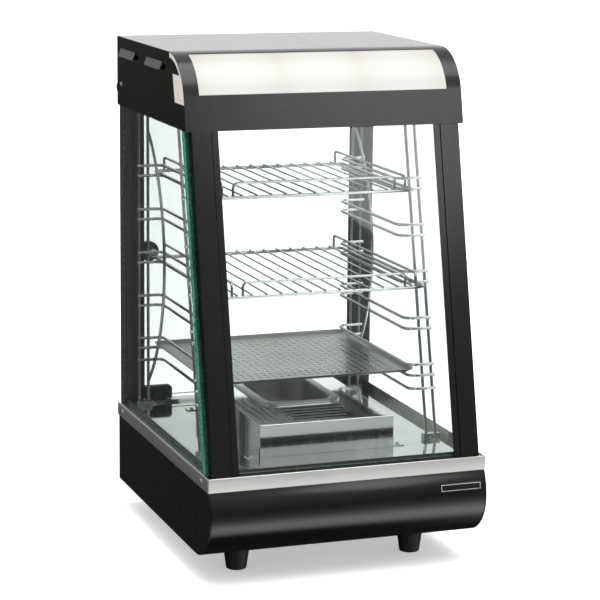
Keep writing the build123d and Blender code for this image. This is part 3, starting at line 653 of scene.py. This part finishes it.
h = HOLE_PITCH / 2
cell = [(h, 0), (h, h), (0, h), (-h, h), (-h, 0), (-h, -h), (0, -h), (h, -h)]
for row in range(ROWS):
    y = (row - ROWS / 2 + 0.5) * HOLE_PITCH
    for column in range(COLUMNS):
        x = (column - COLUMNS / 2 + 0.5) * HOLE_PITCH
        outer = [shared(x + dx, y + dy) for dx, dy in cell]
        hole = [bm.verts.new(at(px, py, tray_z))
                for px, py in corner(x, tray_cy + y, HOLE_R, 0, 337.5, 15)]
        for i in range(8):
            bm.faces.new((outer[i], outer[(i + 1) % 8],
                          hole[(2 * i + 2) % 16], hole[2 * i + 1], hole[2 * i]))
field_edges = [e for e in bm.edges if e.is_boundary and all(v in corners.values() for v in e.verts)]
flat = round_rect(flat_x, -flat_y, flat_y, 5, 6)
flat_edges = loop_edges(bm, [(x, tray_cy + y) for x, y in flat], tray_z)
bmesh.ops.triangle_fill(bm, use_beauty=True, edges=field_edges + flat_edges, normal=(0, 0, 1))
for face in bm.faces:
    if face.normal.z < 0:
        face.normal_flip()
rim_edges = flat_edges
places = [at(x, tray_cy + y, 0) for x, y in flat]
rim_steps = ((0.8, 0.15), (RIM_OUT - 2.2, RIM_UP - 0.6), (RIM_OUT - 0.7, RIM_UP), (RIM_OUT, RIM_UP - 0.1))
for out, up in rim_steps:
    made = bmesh.ops.extrude_edge_only(bm, edges=rim_edges)["geom"]
    rim_edges = [g for g in made if isinstance(g, bmesh.types.BMEdge) and g.is_boundary]
    ring = round_rect(flat_x + out, -flat_y - out, flat_y + out, 5 + out * 0.9, 6)
    for v in [g for g in made if isinstance(g, bmesh.types.BMVert)]:
        spot = Vector((v.co.x, v.co.y, 0))
        nearest = min(range(len(flat)), key=lambda k: (places[k] - spot).length)
        v.co = at(ring[nearest][0], tray_cy + ring[nearest][1], tray_z + up)
    places = [at(x, tray_cy + y, 0) for x, y in ring]
bmesh.ops.recalc_face_normals(bm, faces=bm.faces)
tray_steel = brushed("tray_steel", (0.33, 0.33, 0.32), (0.43, 0.425, 0.41), 0.34,
                     (0.05, 1, 1), 0.000003, 240)
# The hole walls and the cut edge take a near-black second material: painted shade inside the punched holes.
hole_shade = moulded("punched_hole_shade", (0.008, 0.008, 0.008), (0.02, 0.02, 0.019), 0.5)
tray = piece("punched_tray", bm, [tray_steel, hole_shade], "tray_body", sharp=60)
thicken(tray, 1.0).material_offset_rim = 1
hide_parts("tray")

# ---- Posts and beads ----
# Square steel tubes carry the hood. The two front posts lean back, each with a bead strip that holds
# the front pane; the rear posts have a step that the door closes against.

for name in ("front_post_right", "front_post_left", "glazing_beads"):
    eased(name, black_paint, 0.5)
# The rear posts are painted black like the front ones; this lighter olive grey is a painted reflection on
# them.
rear_post_sheen = painted("rear_post_painted_sheen", (0.036, 0.038, 0.033), (0.050, 0.052, 0.046), 0.25, 0.000004)
for name in ("rear_post_right", "rear_post_left"):
    eased(name, rear_post_sheen, 0.4)
rest_rubber = moulded("glazing_rubber", (0.008, 0.010, 0.009), (0.014, 0.016, 0.015), 0.5)
eased("front_glass_rest", rest_rubber, 0.2)

# ---- Glass panes ----
# Toughened float glass with ground edges: clear and faintly green through its faces, deep green at an edge.
# The light that travels along the sheet and comes out at an edge is a painted glow, and darker copies of
# the edge colour are painted shade.

CLEAR_TINT = (0.965, 0.985, 0.978)
GLASS_INDEX = 1.45
clear_glass = bpy.data.materials.new("clear_glass")
clear_glass.use_nodes = True
tree = clear_glass.node_tree
tree.nodes.remove(tree.nodes["Principled BSDF"])
through = tree.nodes.new("ShaderNodeBsdfTransparent")
through.inputs["Color"].default_value = (*CLEAR_TINT, 1)
shine = tree.nodes.new("ShaderNodeBsdfGlossy")
shine.inputs["Roughness"].default_value = 0.02
weight = tree.nodes.new("ShaderNodeFresnel")
facing_side = tree.nodes.new("ShaderNodeNewGeometry")
bending = map_range(tree, facing_side.outputs["Backfacing"], 0, 1, GLASS_INDEX, 1 / GLASS_INDEX)
tree.links.new(bending, weight.inputs["IOR"])
blend = tree.nodes.new("ShaderNodeMixShader")
tree.links.new(weight.outputs["Fac"], blend.inputs["Fac"])
tree.links.new(through.outputs["BSDF"], blend.inputs[1])
tree.links.new(shine.outputs["BSDF"], blend.inputs[2])
tree.links.new(blend.outputs["Shader"], tree.nodes["Material Output"].inputs["Surface"])


def glass_edge(name, dark, light, glow):
    """The ground edge of a sheet: green bands along it, with an emitted glow painted on as light coming out
    of the glass.
    """
    mat, shader = new_material(name, light, 0.25)
    streaks = grain(mat, 90, (1, 1, 0.01), 1.0)
    colour = tint(mat, streaks, dark, light)
    feed(mat, colour, shader, "Base Color")
    feed(mat, colour, shader, "Emission Color")
    shader.inputs["Emission Strength"].default_value = glow
    feed(mat, spread(mat, grain(mat, 200), 0.18, 0.32), shader, "Roughness")
    return mat


# One edge colour at three brightnesses: the side and door panes glow most, the front pane less, and the
# back and under edges least, as painted shade.
side_edge = glass_edge("side_pane_edge", (0.006, 0.07, 0.042), (0.05, 0.24, 0.145), 0.14)
dark_edge = glass_edge("dark_pane_edge", (0.004, 0.030, 0.022), (0.012, 0.07, 0.05), 0.1)
shaded_back_edge = glass_edge("shaded_pane_edge", (0.025, 0.034, 0.029), (0.06, 0.075, 0.066), 0.05)


def pane(name, node, edge_mat, body="case", arris=0.5):
    """Rebuild a pane with clean large faces, ground bevels and green edges."""
    bm = bmesh.new()
    bm.from_mesh(nodes[node].data)
    bmesh.ops.remove_doubles(bm, verts=bm.verts, dist=MELT)
    bmesh.ops.dissolve_limit(bm, angle_limit=math.radians(1), verts=bm.verts, edges=bm.edges)
    sharp = [e for e in bm.edges if len(e.link_faces) == 2 and e.calc_face_angle(0) > math.radians(50)]
    way = max(bm.faces, key=lambda f: f.calc_area()).normal.copy()
    broad = [f for f in bm.faces if abs(f.normal.dot(way)) > 0.99]
    rims = [e for e in sharp if any(f in broad for f in e.link_faces)]
    for face in bm.faces:
        face.material_index = 0 if face in broad else 1
    bmesh.ops.bevel(bm, geom=rims, offset=arris * MM, segments=1, affect="EDGES", material=-1, profile=0.5)
    # Edges at the back of the case or facing down take the dullest copy: painted shade.
    for face in bm.faces:
        in_shade = face.calc_center_median().y > 0.2 or face.normal.z < -0.8
        face.material_index = 0 if abs(face.normal.dot(way)) > 0.99 else (2 if in_shade else 1)
    obj = piece(name, bm, [clear_glass, edge_mat, shaded_back_edge], body, sharp=20)
    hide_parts(node)
    return obj


pane("side_pane_right", "side_glass_right", side_edge)
pane("side_pane_left", "side_glass_left", side_edge)
pane("front_pane", "front_glass", dark_edge)

# ---- Glazing strips ----
# A narrow strip of green glass is bonded to the outer side of each front post, where the side pane ends.
# It leans back with the post and closes the gap that the pane leaves; its edges are ground.

STRIP_IN, STRIP_OUT = 221.3, 226.7
STRIP_FRONT, STRIP_BACK = 17.5, 29.4
STRIP_FOOT, STRIP_TOP = 181.0, 692.0
POST_FOOT_Y, POST_FOOT_Z, LEAN_BACK, LEAN_HEIGHT = 4.0, 178.5, 113.5, 515.5
lean_foot, lean_rise = POST_FOOT_Y - POST_FOOT_Z * LEAN_BACK / LEAN_HEIGHT, LEAN_BACK / LEAN_HEIGHT
bm = bmesh.new()
for side in (-1, 1):
    x0, x1 = sorted((side * STRIP_IN, side * STRIP_OUT))
    made = add_box(bm, Matrix.Translation(at(0, 0, 0)),
                   (x0, STRIP_FRONT, STRIP_FOOT), (x1, STRIP_BACK, STRIP_TOP))
    for v in made:
        v.co.y += (lean_foot + lean_rise * v.co.z / MM) * MM
bm.normal_update()
# Broad faces take the bright green with its painted glow; the narrow faces take a darker copy, painted
# shade.
for face in bm.faces:
    face.material_index = 0 if abs(face.normal.x) > 0.9 else 1
strip_green = glass_edge("strip_green", (0.010, 0.085, 0.052), (0.065, 0.27, 0.17), 0.16)
strip_dark = glass_edge("strip_dark", (0.004, 0.035, 0.022), (0.012, 0.075, 0.048), 0.10)
strips = piece("glazing_strips", bm, [strip_green, strip_dark])
break_edges(strips, 0.5)

# ---- Hood ----
# A sheet-steel canopy: side cheeks with pressed louvres, a leaning fascia that curves over into the flat
# top, a plain rear panel, and a satin ceiling over the food.

HOOD_SHEET = 1.2
LOWER_R, UPPER_R = 79.2, 87.2
WINDOW_HALF, WINDOW_FROM, WINDOW_TO = 204.5, 164.6, 104.6
CORNER_R, FASCIA_LEAN = 4.0, 12.42
fascia_low, fascia_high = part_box("hood_fascia")
hood_half, hood_foot, hood_top_z = fascia_high.x / MM, fascia_low.z / MM, fascia_high.z / MM
upper_c = ((fascia_high.y - face_y) / MM, hood_top_z - UPPER_R)
lower_c = (upper_c[0] - (UPPER_R - LOWER_R) * math.cos(math.radians(45)),
           upper_c[1] + (UPPER_R - LOWER_R) * math.sin(math.radians(45)))
bend_turn = 180 - FASCIA_LEAN
bend_at = corner(*lower_c, LOWER_R, bend_turn, bend_turn, 1)[0]
foot_at = ((fascia_low.y - face_y) / MM, hood_foot)


def along(a, b, share):
    """A point part of the way between two points."""
    return tuple(p + (q - p) * share for p, q in zip(a, b))


skin = [along(foot_at, bend_at, s) for s in (0, CORNER_R / (bend_at[1] - hood_foot), 0.35, 0.65)]
skin += corner(*lower_c, LOWER_R, bend_turn, WINDOW_FROM, 1)
window_start = len(skin) - 1
skin += corner(*lower_c, LOWER_R, WINDOW_FROM, 135, 14)[1:]
skin += corner(*upper_c, UPPER_R, 135, WINDOW_TO, 14)[1:]
window_end = len(skin) - 1
skin += corner(*upper_c, UPPER_R, WINDOW_TO, 90, 8)[1:]
xs = [-hood_half, -hood_half + CORNER_R, -WINDOW_HALF, WINDOW_HALF, hood_half - CORNER_R, hood_half]
bm = bmesh.new()
grid = [[bm.verts.new(at(x, y, z)) for y, z in skin] for x in xs]
for i in range(len(xs) - 1):
    for j in range(len(skin) - 1):
        if i == 2 and window_start <= j < window_end:
            continue
        if j == 0 and i in (0, len(xs) - 2):
            continue
        bm.faces.new((grid[i][j], grid[i][j + 1], grid[i + 1][j + 1], grid[i + 1][j]))
for i, side in ((0, -1), (len(xs) - 1, 1)):
    neighbour = 1 if side < 0 else len(xs) - 2
    fan = [grid[i][1]]
    for k in range(1, 7):
        a = math.pi / 2 * k / 7
        x = side * (hood_half - CORNER_R + CORNER_R * math.cos(a))
        share = (CORNER_R - CORNER_R * math.sin(a)) / (bend_at[1] - hood_foot)
        y, z = along(foot_at, bend_at, share)
        fan.append(bm.verts.new(at(x, y, z)))
    fan += [grid[neighbour][0], grid[neighbour][1]]
    bm.faces.new(fan if side > 0 else fan[::-1])
loose = [v for v in bm.verts if not v.link_faces]
bmesh.ops.delete(bm, geom=loose, context="VERTS")
bmesh.ops.recalc_face_normals(bm, faces=bm.faces)
if min(bm.faces, key=lambda f: f.calc_center_median().z).normal.y > 0:
    bmesh.ops.reverse_faces(bm, faces=bm.faces)
fascia_paint = painted("fascia_paint", (0.0050, 0.0048, 0.0045), (0.0075, 0.0072, 0.0068), 0.22, 0.000004)
fascia = piece("curved_fascia", bm, [fascia_paint], sharp=50)
thicken(fascia, HOOD_SHEET)
break_edges(fascia, 0.3)
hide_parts("hood_fascia")
gloss_paint = painted("hood_top_paint", (0.012, 0.012, 0.012), (0.018, 0.018, 0.018), 0.2, 0.000004)
eased("hood_top", gloss_paint, 0.3)
for name in ("hood_cheek_right", "hood_cheek_left", "hood_rear_panel"):
    eased(name, black_paint, 0.4)
eased("hood_ceiling", satin_steel, 0.3)

# ---- Lit cover and lamps ----
# A moulded opal cover behind the fascia's window glows from three small lamps. Its ends show at the
# sides of the hood, and a white sheet behind the lamps throws their light forward.

GLOW_REACH, GLOW_CORE = 0.105, 0.02
lamp_low, lamp_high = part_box("lamps")
lamp_z = lamp_high.z - 14 * MM
lamp_step = lamp_high.x - 12.5 * MM
glow_y = (lamp_low.y + lamp_high.y) / 2 - 0.045
opal = bpy.data.materials.new("opal_cover")
opal.use_nodes = True
tree = opal.node_tree
shader = tree.nodes["Principled BSDF"]
shader.inputs["Roughness"].default_value = 0.32
shader.inputs["Base Color"].default_value = (0.05, 0.049, 0.046, 1)
place = tree.nodes.new("ShaderNodeTexCoord")
glow = None
for step in (-1, 0, 1):
    offset = tree.nodes.new("ShaderNodeVectorMath")
    offset.operation = "SUBTRACT"
    offset.inputs[1].default_value = (step * lamp_step, glow_y, lamp_z + 0.02)
    tree.links.new(place.outputs["Object"], offset.inputs[0])
    distance = tree.nodes.new("ShaderNodeVectorMath")
    distance.operation = "LENGTH"
    tree.links.new(offset.outputs["Vector"], distance.inputs[0])
    fade = map_range(tree, distance.outputs["Value"], GLOW_REACH, GLOW_CORE, smooth=True)
    if glow is None:
        glow = fade
    else:
        most = tree.nodes.new("ShaderNodeMath")
        most.operation = "MAXIMUM"
        tree.links.new(glow, most.inputs[0])
        tree.links.new(fade, most.inputs[1])
        glow = most.outputs["Value"]
glow_colours = [(0.0, (0.74, 0.70, 0.67)), (1.0, (0.97, 0.97, 0.93)), (0.25, (0.87, 0.855, 0.785))]
feed(opal, colour_ramp(tree, glow, glow_colours), shader, "Emission Color")
shader.inputs["Emission Strength"].default_value = 0.79
raise_grain(opal, shader, grain(opal, 600), 0.00001, 0.3)
finished("light_diffuser", opal)
white_sheet = painted("white_sheet", (0.72, 0.72, 0.70), (0.80, 0.80, 0.78), 0.35)
eased("lamp_reflector", white_sheet, 0.2)
ceramic = moulded("glazed_ceramic", (0.70, 0.70, 0.67), (0.80, 0.79, 0.76), 0.2, 300)
finished("lamp_holders", ceramic)
frosted = moulded("frosted_lamp", (0.86, 0.82, 0.74), (0.92, 0.88, 0.80), 0.35, 500)
shader = frosted.node_tree.nodes["Principled BSDF"]
shader.inputs["Emission Color"].default_value = (1.0, 0.86, 0.62, 1)
shader.inputs["Emission Strength"].default_value = 1.5
finished("lamps", frosted)
buffer_rubber = moulded("buffer_rubber", (0.012, 0.012, 0.012), (0.022, 0.022, 0.021), 0.5)
finished("wall_buffers", buffer_rubber)

# ---- Rear door ----
# One glass pane with two clamps that turn on pins, a steel catch that a magnet holds, and a turned
# black knob with a polished screw through the glass.

pane("door_pane", "door_glass", side_edge, "rear_door", 0.4)
clamp_steel = brushed("clamp_steel", (0.10, 0.105, 0.10), (0.17, 0.175, 0.165), 0.3,
                      (0.1, 1, 1), 0.000006, 260)
for name in ("lower_hinge_clamp", "upper_hinge_clamp"):
    eased(name, clamp_steel, 0.6, 3)
eased("door_catch_plate", clamp_steel, 0.5, 3)
finished("door_pivot_pins", zinc_bright)
magnet_grey = moulded("magnet_ferrite", (0.03, 0.03, 0.03), (0.05, 0.05, 0.052), 0.6, 400)
eased("door_catch_magnet", magnet_grey, 0.5)
knob_black = moulded("knob_black", (0.010, 0.010, 0.010), (0.018, 0.018, 0.018), 0.3, 700)
knob_low, knob_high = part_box("door_knob")
knob_centre = (knob_low + knob_high) / 2
knob_r = (knob_high.x - knob_low.x) / 2 / MM
knob_back = (knob_high.y - face_y) / MM
GLASS_OUT = 505.0
knob_deep = knob_back - GLASS_OUT
knob_profile = [(0, -5.4), (4, -5.4), (4, 0.1), (9, 0.1), (8.2, 3), (7.6, 7), (8.6, 10.6), (12.5, 12.0),
                *corner(knob_r - 2, 14.4, 2, 270, 360, 4), (knob_r, knob_deep - 3.4),
                *corner(knob_r - 3, knob_deep - 3, 3, 5, 90, 5), (8, knob_deep - 0.6),
                (0, knob_deep - 1.2)]
bm = bmesh.new()
knob_seat = Vector((knob_centre.x, face_y + GLASS_OUT * MM, knob_centre.z))
turned(bm, knob_profile, facing(knob_seat, (0, 1, 0)), 64)
knob = piece("turned_door_knob", bm, [knob_black], "rear_door")
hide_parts("door_knob")
screw_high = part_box("door_knob_screw")[1]
bm = bmesh.new()
knob_screw_place = facing(Vector((knob_centre.x, screw_high.y, knob_centre.z)), (0, -1, 0))
turned(bm, [(0, 0), (8, 0), (8, 1.1), *corner(5.2, 0.2, 2.8, 20, 80, 5), (3.1, 3.0), (2.9, 1.5), (0, 1.5)],
       knob_screw_place, 48)
knob_screw = piece("polished_knob_screw", bm, [chrome], "rear_door", sharp=30)
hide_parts("door_knob_screw")

# ---- Controls ----
# On the rear panel: a thermostat knob over a printed dial, a red pilot lamp, two rocker switches in
# snap-in frames, and the gland for the supply lead.

plastic_black = moulded("control_plastic", (0.012, 0.012, 0.012), (0.020, 0.020, 0.020), 0.38, 900)
finished("thermostat", plastic_black)
finished("thermostat_shaft", zinc_bright)
dial_low, dial_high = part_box("dial_plate")
dial_centre = (dial_low + dial_high) / 2
dial_r = (dial_high.x - dial_low.x) / 2 / MM
dial_metal = brushed("dial_metal", (0.50, 0.50, 0.50), (0.62, 0.62, 0.62), 0.32,
                     (0.03, 1, 1), 0.000004, 300)
print_black = moulded("dial_print", (0.012, 0.012, 0.012), (0.02, 0.02, 0.02), 0.5)
bm = bmesh.new()
dial_place = facing(Vector((dial_centre.x, dial_low.y, dial_centre.z)), (0, 1, 0))
turned(bm, [(4, 0), (dial_r, 0), (dial_r, 0.5), (dial_r - 0.3, 0.8), (4, 0.8), (4, 0)], dial_place, 72)
dial = piece("dial_disc", bm, [dial_metal])
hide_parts("dial_plate")
SWEEP, FIRST_MARK = 270, -135
MARKS, NUMBERS = 28, 10
MARK_START, LONG_MARK, SHORT_MARK, NUMBER_R = 21.4, 2.6, 1.5, 26.4
bm = bmesh.new()
for i in range(MARKS):
    half, long = (0.3, LONG_MARK) if i % 3 == 0 else (0.17, SHORT_MARK)
    turn = math.radians(FIRST_MARK + SWEEP * i / (MARKS - 1))
    spot = dial_place @ Matrix.Rotation(turn, 4, "Z")
    add_box(bm, spot, (-half, MARK_START, 0.75), (half, MARK_START + long, 0.86))
marks = piece("dial_marks", bm, [print_black])
for i in range(NUMBERS):
    turn = math.radians(FIRST_MARK + SWEEP * i / (NUMBERS - 1))
    text = bpy.data.curves.new("number", "FONT")
    text.body = str(10 * i)
    text.size = 3.2 * MM
    text.extrude = 0.05 * MM
    text.align_x = "CENTER"
    text.align_y = "CENTER"
    label = bpy.data.objects.new(f"dial_number_{i}", text)
    bpy.context.scene.collection.objects.link(label)
    r = NUMBER_R * MM
    spot = Vector((dial_centre.x - r * math.sin(turn), dial_high.y - 0.02 * MM,
                   dial_centre.z + r * math.cos(turn)))
    upright = Matrix.Rotation(math.pi, 4, "Z") @ Matrix.Rotation(math.pi / 2, 4, "X")
    label.matrix_world = Matrix.Translation(spot) @ upright
    label.data.materials.append(print_black)
    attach(label, "case")

grip_low, grip_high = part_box("thermostat_knob")
grip_place = facing(Vector((dial_centre.x, grip_low.y, dial_centre.z)), (0, 1, 0))
skirt_r = (grip_high.x - grip_low.x) / 2 / MM
grip_deep = (grip_high.y - grip_low.y) / MM
bm = bmesh.new()
turned(bm, [(3.1, 0), (skirt_r - 0.4, 0), (skirt_r, 0.5), (skirt_r - 0.2, 2.6), (skirt_r - 1.2, 3.6),
            (17.2, 3.9), *corner(15.8, 8.4, 1.4, 0, 90, 4), (0, 9.8)], grip_place, 72)
for v in add_box(bm, grip_place, (-4.6, -17, 9), (4.6, 17, grip_deep)):
    local = grip_place.inverted() @ v.co
    if local.z > 12 * MM:
        local.x *= 0.72
        local.y *= 0.93
        v.co = grip_place @ local
grip = piece("thermostat_grip", bm, [plastic_black], "thermostat_knob_body")
break_edges(grip, 0.8, 3)
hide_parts("thermostat_knob")
bm = bmesh.new()
add_box(bm, grip_place, (-0.6, 6, grip_deep - 0.3), (0.6, 15.4, grip_deep + 0.1))
pointer = piece("thermostat_pointer", bm, [bright_print], "thermostat_knob_body")

eased("switch_frames", plastic_black, 0.5, 3)
for name in ("heating_rocker", "lamp_rocker"):
    eased(name, plastic_black, 0.35, 3)
lens_red, shader = new_material("red_lens", (0.42, 0.012, 0.010), 0.12)
red = tint(lens_red, grain(lens_red, 220), (0.30, 0.008, 0.006), (0.50, 0.018, 0.014))
feed(lens_red, red, shader, "Base Color")
shader.inputs["Coat Weight"].default_value = 0.5
finished("pilot_lamp", lens_red)
eased("cable_gland", plastic_black, 0.5, 3)

# ---- Floor, light and camera ----
# A plain pale floor under soft boxes above, at the front right and at the left, with a broad overhead
# light and a sky that is bright behind the case and dim in front of it.

bm = bmesh.new()
bmesh.ops.create_grid(bm, x_segments=4, y_segments=4, size=55)
floor_mesh = bpy.data.meshes.new("studio_floor")
bm.to_mesh(floor_mesh)
bm.free()
floor = bpy.data.objects.new("studio_floor", floor_mesh)
bpy.context.scene.collection.objects.link(floor)
floor_white, shader = new_material("floor_white", (0.93, 0.93, 0.93), 0.9)
shader.inputs["Emission Color"].default_value = (1, 1, 1, 1)
shader.inputs["Emission Strength"].default_value = 0.4
floor.data.materials.append(floor_white)
floor.visible_glossy = False

world = bpy.data.worlds.new("studio")
world.use_nodes = True
bpy.context.scene.world = world
tree = world.node_tree
sky = tree.nodes["Background"]
place = tree.nodes.new("ShaderNodeTexCoord")
parts = tree.nodes.new("ShaderNodeSeparateXYZ")
tree.links.new(place.outputs["Generated"], parts.inputs["Vector"])
rise = map_range(tree, parts.outputs["Z"], -1, 1)
front_levels = [(0.0, 0.02), (1.0, 1.0), (0.05, 0.02), (0.09, 1.4), (0.128, 2.6), (0.206, 2.6),
                (0.289, 1.3), (0.379, 0.45), (0.46, 0.12)]
front_sky = colour_ramp(tree, rise, [(position, (level,) * 3) for position, level in front_levels])
rear_stops = [(0.46, (0.13, 0.13, 0.125)), (0.52, (1.35, 1.35, 1.34)), (0.85, (0.7, 0.7, 0.7)),
              (0.2, (0.02, 0.02, 0.02))]
rear_sky = colour_ramp(tree, rise, rear_stops)
behind = map_range(tree, parts.outputs["Y"], -0.25, 0.35, smooth=True)
both = tree.nodes.new("ShaderNodeMix")
both.data_type = "RGBA"
tree.links.new(behind, both.inputs["Factor"])
tree.links.new(front_sky, both.inputs["A"])
tree.links.new(rear_sky, both.inputs["B"])
tree.links.new(both.outputs["Result"], sky.inputs["Color"])
tree.links.new(map_range(tree, parts.outputs["X"], -0.3, 0.15, 0.4, smooth=True), sky.inputs["Strength"])


def soft_light(name, place, aim, size_x, size_y, power):
    """A large soft box."""
    data = bpy.data.lights.new(name, "AREA")
    data.shape = "RECTANGLE"
    data.size, data.size_y = size_x, size_y
    data.energy = power
    light = bpy.data.objects.new(name, data)
    light.location = place
    light.rotation_euler = (Vector(aim) - Vector(place)).to_track_quat("-Z", "Y").to_euler()
    bpy.context.scene.collection.objects.link(light)
    return light


soft_light("top_light", (0.2, -0.6, 2.9), (0, 0, 0.3), 2.2, 2.2, 40)
front_light = soft_light("front_light", (1.32, -2.9, 1.75), (0, -0.1, 0.6), 0.9, 0.9, 6.6)
diamond = front_light.rotation_euler.to_quaternion() @ Quaternion((0, 0, 1), math.radians(45))
front_light.rotation_euler = diamond.to_euler()
soft_light("left_light", (-2.6, -1.0, 1.5), (0, 0, 0.4), 1.2, 1.8, 8)
sky_light_data = bpy.data.lights.new("ceiling_light", "SUN")
sky_light_data.energy = 2.6
sky_light_data.angle = math.radians(70)
sky_light = bpy.data.objects.new("ceiling_light", sky_light_data)
sky_light.rotation_euler = (math.radians(12), 0, 0)
sky_light.visible_glossy = False
bpy.context.scene.collection.objects.link(sky_light)

CAMERA_PLACE = Vector((-1.2179, -3.3844, 1.1179))
LOOK_RIGHT, LOOK_DOWN, ROLL = 19.94, 11.38, 0.65
camera_data = bpy.data.cameras.new("front_left_view")
camera_data.lens = 134.7
camera_data.sensor_width = 36
camera_data.clip_end = 200
camera = bpy.data.objects.new("front_left_view", camera_data)
turn, down, roll = (math.radians(a) for a in (LOOK_RIGHT, LOOK_DOWN, ROLL))
forward = Vector((math.sin(turn) * math.cos(down), math.cos(turn) * math.cos(down), -math.sin(down)))
right = forward.cross(Vector((0, 0, 1))).normalized()
up = right.cross(forward)
level_right = math.cos(roll) * right + math.sin(roll) * up
level_up = -math.sin(roll) * right + math.cos(roll) * up
axes = Matrix((level_right, level_up, -forward)).transposed()
camera.matrix_world = Matrix.Translation(CAMERA_PLACE) @ axes.to_4x4()
bpy.context.scene.collection.objects.link(camera)
bpy.context.scene.camera = camera
bpy.context.scene.view_settings.view_transform = "Standard"
